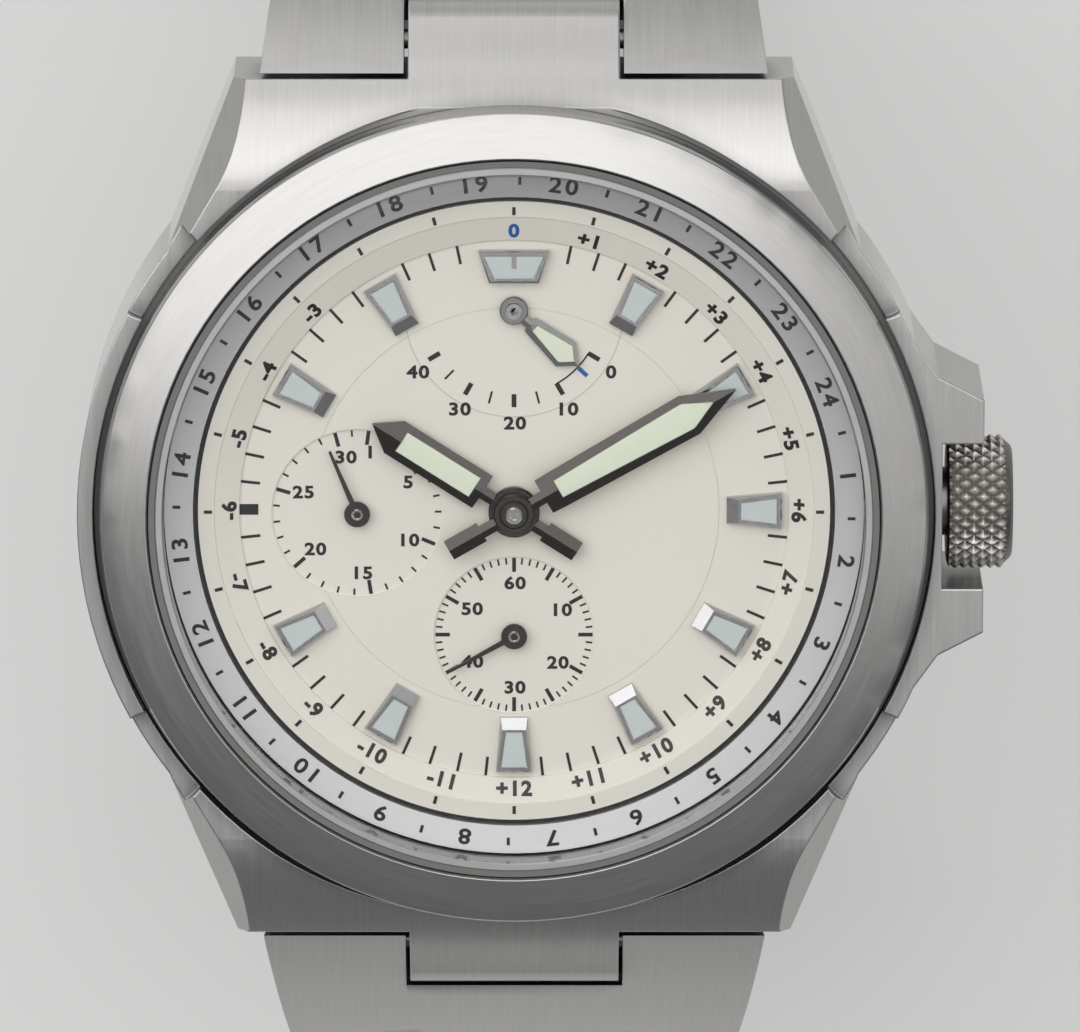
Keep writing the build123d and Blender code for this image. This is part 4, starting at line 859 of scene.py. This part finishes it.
def tray(angle, inner, outer, inner_half, outer_half, facet, rim):
    """A tray as five outlines; the facet falls 25 degrees towards the dial's centre."""
    top, floor, pocket = MARKER_TOP, MARKER_TOP + MARKER_FLOOR, facet + 0.1
    levels = [(0.0, 0.0, MARKER_FOOT, MARKER_FOOT), (0.0, 0.0, top - facet * FACET_FALL, top - 0.09),
              (0.07, facet, top, top), (rim, pocket, top, top), (rim, pocket, floor, floor)]
    rows = []
    for inset, inner_inset, inner_height, outer_height in levels:
        across, along = trapezoid(inner, outer, inner_half, outer_half, inset, inner_inset)
        heights = [inner_height, inner_height, outer_height, outer_height]
        rows.append(spoke_points(across, along, heights, angle))
    return np.vstack(rows), grid_faces(5, 4, close_columns=True) + [(3, 2, 1, 0), (16, 17, 18, 19)]


def fill(angle, inner, outer, inner_half, outer_half, facet, rim):
    """The paint in a tray: a slab with rounded shoulders, a hair away from the tray's walls."""
    rows, pocket = [], facet + 0.1
    for shrink, height in ((0.03, MARKER_FLOOR), (0.03, -0.08), (0.07, -0.055)):
        across, along = trapezoid(inner, outer, inner_half, outer_half, rim + shrink, pocket + shrink)
        rows.append(spoke_points(across, along, np.full(4, MARKER_TOP + height), angle))
    return np.vstack(rows), grid_faces(3, 4, close_columns=True) + [(3, 2, 1, 0), (8, 9, 10, 11)]


trays = [tray(angle, *PLAIN_MARKER) for angle in MARKER_ANGLES] + [tray(0.0, *TOP_MARKER)]
stem = prism(np.array([[-0.11, 12.55], [0.11, 12.55], [0.11, 13.23], [-0.11, 13.23]]) * MM,
             RING_Z + (MARKER_TOP + MARKER_FLOOR) * MM, 0.15 * MM)
marker_trays = make_piece("marker_trays", *gather(trays + [stem]), finishes["marker_metal"], "case",
                          "marker_metal")
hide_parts("hour_markers")
fills = [fill(angle, *PLAIN_MARKER) for angle in MARKER_ANGLES] + [fill(0.0, *TOP_MARKER)]
marker_fill = make_piece("marker_fill", *gather(fills), finishes["marker_lume"], "case", "marker_lume")
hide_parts("marker_lume")
print("markers", len(trays))

# %% [markdown]
# ## Hands
#
# The hour and minute hands are roof shaped: two flanks slope away from a ridge, so that one takes
# the light and the other stays dark. At distance s along a hand, with half width w(s), the height
# at x across is top - slope * |x|, down to the edge at |x| = w(s). Where the hand is hollow, the
# flanks stop at the pocket's own half width.

# %% Roof, paint and turned forms


def roof(rows, low, top, slope, angle, centre=(0.0, 0.0)):
    """Both flanks of a hand from rows of (along, half width, pocket's half width)."""
    along, half, pocket = np.array(rows, float).T
    base = np.full(len(half), low)
    corners = ((half, base), (half, top - slope * half), (pocket, top - slope * pocket), (pocket, base))
    last = (len(rows) - 1) * 4
    faces = grid_faces(len(rows), 4, close_columns=True)
    faces += [(3, 2, 1, 0), (last, last + 1, last + 2, last + 3)]
    parts = []
    for side in (1.0, -1.0):
        columns = [spoke_points(side * across, along, height, angle, centre)
                   for across, height in corners]
        turned = faces if side > 0 else [tuple(reversed(f)) for f in faces]
        parts.append((np.stack(columns, axis=1).reshape(-1, 3), turned))
    return parts


def pillow(rows, low, top, crown, angle, centre=(0.0, 0.0)):
    """Paint in a pocket: a rounded top that rises by crown from its sides to its middle."""
    along, half = np.array(rows, float).T
    shares = np.array([-1.0, -0.95, -0.6, 0.0, 0.6, 0.95, 1.0, 1.0, -1.0])
    lifts = np.array([0.0, 0.5, 0.8, 1.0, 0.8, 0.5, 0.0]) * crown
    heights = [top + lift for lift in lifts] + [low, low]
    columns = [spoke_points(half * share, along, np.full(len(half), height), angle, centre)
               for share, height in zip(shares, heights)]
    sides = len(columns)
    faces = [tuple(reversed(f)) for f in grid_faces(len(rows), sides, close_columns=True)]
    last = (len(rows) - 1) * sides
    faces += [tuple(range(sides)), tuple(range(last + sides - 1, last - 1, -1))]
    return np.stack(columns, axis=1).reshape(-1, 3), faces


def lathe(profile, centre=(0.0, 0.0), steps=64):
    """A closed profile of (radius, height) in millimetres, carried round an upright axis."""
    radius, height = np.array(profile, float).T
    turns = np.linspace(0.0, 2 * np.pi, steps, endpoint=False)
    x = np.outer(np.cos(turns), radius) + centre[0]
    y = np.outer(np.sin(turns), radius) + centre[1]
    z = np.broadcast_to(height, x.shape) * MM + RING_Z
    points = np.stack([x * MM, y * MM, z], axis=-1).reshape(-1, 3)
    return points, grid_faces(steps, len(radius), close_rows=True, close_columns=True)


def tidy_mesh(made):
    """Merge double points, drop faces without area and turn every face outwards."""
    work = bmesh.new()
    work.from_mesh(made.data)
    bmesh.ops.remove_doubles(work, verts=work.verts, dist=1e-7)
    bmesh.ops.dissolve_degenerate(work, edges=work.edges, dist=1e-8)
    bmesh.ops.recalc_face_normals(work, faces=work.faces)
    work.to_mesh(made.data)
    work.free()


# %% Hour, minute and reserve hands
HOUR_ANGLE, MINUTE_ANGLE, RESERVE_ANGLE = 302.6, 60.1, 130.7
ROOF_SLOPE, RESERVE_SLOPE = 0.25, 0.2
TAIL_ROWS = [(-3.8, 0.53, 0.0), (-1.9, 0.53, 0.0), (-1.9, 0.32, 0.0)]
HOUR_ROWS = TAIL_ROWS + [(1.9, 0.32, 0.0), (1.9, 0.975, 0.0), (2.35, 0.975, 0.0), (2.35, 0.975, 0.6),
                         (6.8, 0.975, 0.6), (6.8, 0.975, 0.0), (7.2, 0.975, 0.0), (8.5, 0.02, 0.0)]
MINUTE_ROWS = TAIL_ROWS + [(1.75, 0.32, 0.0), (1.75, 0.96, 0.0), (2.57, 0.99, 0.0), (2.57, 0.99, 0.52),
                           (10.1, 1.115, 0.74), (10.25, 1.12, 0.7), (11.75, 0.5, 0.0),
                           (12.95, 0.02, 0.0)]
RESERVE_ROWS = [(0.0, 0.25, 0.0), (1.0, 0.25, 0.0), (1.12, 0.44, 0.0), (1.38, 0.49, 0.22),
                (3.42, 0.79, 0.57), (3.5, 0.8, 0.54), (4.08, 0.24, 0.0), (4.35, 0.02, 0.0)]
HOUR_HUB = [(1.12, -0.35), (1.3, -0.35), (1.3, -0.1), (1.22, -0.02), (0.8, -0.02), (0.8, -0.06),
            (1.12, -0.06)]
MINUTE_HUB = [(0.39, 0.1), (1.05, 0.1), (1.05, 0.38), (0.96, 0.47), (0.74, 0.47), (0.66, 0.58),
              (0.39, 0.58)]
RESERVE_HUB = [(0.17, -0.66), (0.72, -0.66), (0.72, -0.5), (0.66, -0.44), (0.17, -0.44)]
hour_roof = roof(HOUR_ROWS, -0.35, -0.03, ROOF_SLOPE, HOUR_ANGLE)
minute_roof = roof(MINUTE_ROWS, 0.1, 0.42, ROOF_SLOPE, MINUTE_ANGLE)
reserve_roof = roof(RESERVE_ROWS, -0.66, -0.46, RESERVE_SLOPE, RESERVE_ANGLE, RESERVE_CENTRE)
hand_parts = {
    "hour_hand": (hour_roof + [lathe(HOUR_HUB)], "hand_gunmetal"),
    "minute_hand": (minute_roof + [lathe(MINUTE_HUB)], "hand_gunmetal"),
    "reserve_hand": (reserve_roof + [lathe(RESERVE_HUB, RESERVE_CENTRE, 48)], "reserve_hand_metal"),
}
for name, (parts, slot) in hand_parts.items():
    made = make_piece(name + "_roof", *gather(parts), finishes[slot], name, slot)
    tidy_mesh(made)
    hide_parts(name)
print("roof-shaped hands", len(hand_parts))

# %% [markdown]
# ### Luminous paint of the hands
#
# A hand's hollow is filled with luminous paint, which dries with a slightly rounded top. Each fill
# follows the pocket from tail to tip, a hair away from its walls, and rises in its middle.

# %% Luminous paint of the hands
HOUR_FILL = [(2.38, 0.57), (6.77, 0.57)]
MINUTE_FILL = [(2.6, 0.49), (10.1, 0.71), (10.23, 0.67), (11.7, 0.0)]
RESERVE_FILL = [(1.42, 0.2), (3.41, 0.54), (3.48, 0.52), (4.03, 0.0)]
hour_paint = pillow(HOUR_FILL, -0.33, -0.2, 0.04, HOUR_ANGLE)
minute_paint = pillow(MINUTE_FILL, 0.12, 0.25, 0.04, MINUTE_ANGLE)
reserve_paint = pillow(RESERVE_FILL, -0.64, -0.56, 0.02, RESERVE_ANGLE, RESERVE_CENTRE)
fill_parts = {
    "hour_lume": (hour_paint, "hour_hand"),
    "minute_lume": (minute_paint, "minute_hand"),
    "reserve_lume": (reserve_paint, "reserve_hand"),
}
for name, (part, body) in fill_parts.items():
    made = make_piece(name + "_fill", *part, finishes[slot_of[name]], body, slot_of[name])
    tidy_mesh(made)
    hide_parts(name)
print("painted pockets", len(fill_parts))

# %% [markdown]
# ## Crystal
#
# The crystal is turned again with a fine step, because its bevelled rim mirrors the lamp as one
# unbroken line only when the rim is round. It is a hair smaller than its well in the case.

# %% Crystal
RING_STEPS = 256


def turned_ring(name, profile, finish, slot, sharp_angle):
    """A profile turned round the dial's axis in many steps, as a smoothly shaded piece of the case."""
    made = make_piece(name, *lathe(profile, steps=RING_STEPS), finishes[finish], "case", slot)
    tidy_mesh(made)
    shade_turns(made.data, sharp_angle)
    return made


pane_box = node_box("crystal")
pane_rim = pane_box[1][0] / MM - 0.05
pane_low, pane_high = (pane_box[0][2] - RING_Z) / MM, (pane_box[1][2] - RING_Z) / MM
PANE_BEVEL = 0.35
pane_profile = [(0.0, pane_low), (pane_rim, pane_low), (pane_rim, pane_high - PANE_BEVEL),
                (pane_rim - PANE_BEVEL, pane_high), (0.0, pane_high)]
crystal_pane = turned_ring("crystal_pane", pane_profile, "crystal_glass", "crystal_glass", 20.0)
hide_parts("crystal")
print("crystal from", round(pane_low, 2), "to", round(pane_high, 2), "mm above the hour ring")

# %% [markdown]
# ### Seal round the crystal
#
# Between the crystal and the bezel lies a narrow well. On the real watch the crystal's seal fills
# it: a pale rim beside the glass, and a darker lip that follows the bezel's inner bevel and leaves
# it free to turn.

# %% Seal and rim
SEAL_PROFILE = [(17.8, 0.9), (17.94, 0.9), (17.94, 1.92), (18.42, 1.92), (18.5, 2.07), (18.2, 2.07),
                (18.16, 2.0), (17.8, 2.0)]
RIM_PROFILE = [(17.8, 2.01), (18.15, 2.01), (18.18, 2.06), (18.12, 2.12), (17.84, 2.12), (17.8, 2.08)]
crystal_seal = turned_ring("crystal_seal", SEAL_PROFILE, "gasket_rubber", "gasket_rubber", 20.0)
crystal_rim = turned_ring("crystal_rim", RIM_PROFILE, "satin_rim", "brushed_case_steel", 20.0)
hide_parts("crystal_gasket")
print("seal faces", len(crystal_seal.data.polygons), "rim faces", len(crystal_rim.data.polygons))

# %% [markdown]
# ## Zone ring
#
# The ring round the dial has a flat rim, a fine step, and a slope that falls to the dial. The slope
# facing the lamp is bright and the one across from it is dark, which makes it read as a bowl.

# %% Zone ring
ZONE_PROFILE = [(13.95, -0.9), (16.04, -0.9), (16.04, -0.22), (15.24, -0.22), (15.2, -0.3),
                (13.97, -0.74), (13.95, -0.76)]
zone_bowl = turned_ring("zone_bowl", ZONE_PROFILE, "zone_ring_cream", "zone_ring_cream", 12.0)
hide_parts("zone_ring")
print("zone ring height", zone_height(14.0), zone_height(16.0))

# %% [markdown]
# ## Hub caps
#
# A polished steel cap closes the arbor of the centre hands, and a small eyelet holds each subdial
# hand. They are lathe-turned profiles, each riding on its own hand.

# %% Caps and eyelets
CAP_STEEL = plain_metal("cap_steel", STEEL_PALE, 0.2)
CENTRE_CAP = [(0.0, 0.56), (0.43, 0.56), (0.43, 0.74), (0.36, 0.81), (0.22, 0.81), (0.16, 0.76),
              (0.0, 0.76)]
EYELET_BORE = 0.165


def eyelet(place, outer, low):
    """A small ring with a rounded lip, round a pin of 0.16 mm radius."""
    return lathe([(EYELET_BORE, low), (outer, low), (outer, low + 0.06), (outer - 0.05, low + 0.11),
                  (0.21, low + 0.11), (EYELET_BORE, low + 0.07)], place, 32)


caps = {
    "centre_cap": (lathe(CENTRE_CAP), "minute_hand", "hand_gunmetal"),
    "date_eyelet": (eyelet(DATE_CENTRE, 0.29, -0.51), "date_hand", "hand_gunmetal"),
    "seconds_eyelet": (eyelet(SECONDS_CENTRE, 0.29, -0.51), "seconds_hand", "hand_gunmetal"),
    "reserve_eyelet": (eyelet(RESERVE_CENTRE, 0.44, -0.44), "reserve_hand", "reserve_hand_metal"),
}
for name, (part, body, slot) in caps.items():
    tidy_mesh(make_piece(name, *part, CAP_STEEL, body, slot))
print("caps", len(caps))

# %% [markdown]
# ## Floor and light
#
# The floor is plain and pale. Where the camera, or a reflection, sees it, it is a flat pale tone,
# and everywhere else it is an ordinary matt surface that keeps the watch's shadow. It lies a hair
# below the clasp cover, so that no two faces share one level. Brushed steel shows what surrounds
# it, so the broad key lamp hangs above the 12 o'clock side, to the left, and the 6 o'clock side is
# left darker. Three weaker lamps fill the crown side and graze the first link.

# %% Floor
FLOOR_SIZE = 3.0
FLOOR_DROP = 0.05 * MM
FLOOR_TONE = (0.80, 0.80, 0.79, 1.0)
FLOOR_GLOW, GLOW_SHARE = 0.9, 0.45


def floor_material():
    """Pale matt floor, lifted a little for camera, glossy and transmission rays."""
    material, tree, shader = start_material("floor_paint")
    shader.inputs["Roughness"].default_value = 0.8
    shader.inputs["Base Color"].default_value = FLOOR_TONE
    camera_ray = node(tree, "ShaderNodeLightPath", {}, [], "Is Camera Ray")
    seen = camera_ray + camera_ray.twin("Is Glossy Ray") + camera_ray.twin("Is Transmission Ray")
    glow = node(tree, "ShaderNodeEmission", {}, {"Color": FLOOR_TONE, "Strength": FLOOR_GLOW})
    matt = Wire(tree, shader.outputs[0])
    mixed = node(tree, "ShaderNodeMixShader", {}, [seen.clamp() * GLOW_SHARE, matt, glow])
    plug(tree, tree.nodes["Material Output"].inputs["Surface"], mixed)
    return material


floor_mesh = bpy.data.meshes.new("floor")
floor_sides = ((-0.5, -0.5), (0.5, -0.5), (0.5, 0.5), (-0.5, 0.5))
floor_corners = [(x * FLOOR_SIZE, y * FLOOR_SIZE, -FLOOR_DROP) for x, y in floor_sides]
floor_mesh.from_pydata(floor_corners, [], [(0, 1, 2, 3)])
floor_mesh.materials.append(floor_material())
floor = bpy.data.objects.new("floor", floor_mesh)
bpy.context.collection.objects.link(floor)
print("floor", FLOOR_SIZE, "m wide")

# %% Lamps and sky


def lamp(name, direction, distance, size, watts):
    """A rectangular area lamp that looks at the dial from a direction."""
    data = bpy.data.lights.new(name, "AREA")
    data.shape = "RECTANGLE"
    data.size, data.size_y = size
    data.energy = watts
    made = bpy.data.objects.new(name, data)
    bpy.context.collection.objects.link(made)
    aim = np.array(direction, float) / np.linalg.norm(direction)
    side = np.cross((0.0, 1.0, 0.0), aim)
    side /= np.linalg.norm(side)
    place = np.array([0.0, 0.0, RING_Z]) + aim * distance
    made.matrix_world = place_matrix(side, np.cross(aim, side), aim, place)


lamp("key_lamp", (-0.36, 0.46, 1.0), 0.6, (0.85, 0.65), 3.15)
lamp("fill_lamp", (0.55, 0.05, 1.0), 0.7, (0.55, 0.55), 0.6)
lamp("side_lamp", (0.95, 0.25, 0.45), 0.7, (0.25, 0.4), 0.4)
lamp("rim_lamp", (-0.2, 1.0, 0.26), 0.7, (0.6, 0.26), 0.7)
world = bpy.data.worlds.new("studio")
bpy.context.scene.world = world
world.use_nodes = True
world.node_tree.nodes["Background"].inputs["Color"].default_value = (0.80, 0.81, 0.82, 1.0)
world.node_tree.nodes["Background"].inputs["Strength"].default_value = 0.27
print("lamps", len(bpy.data.lights))
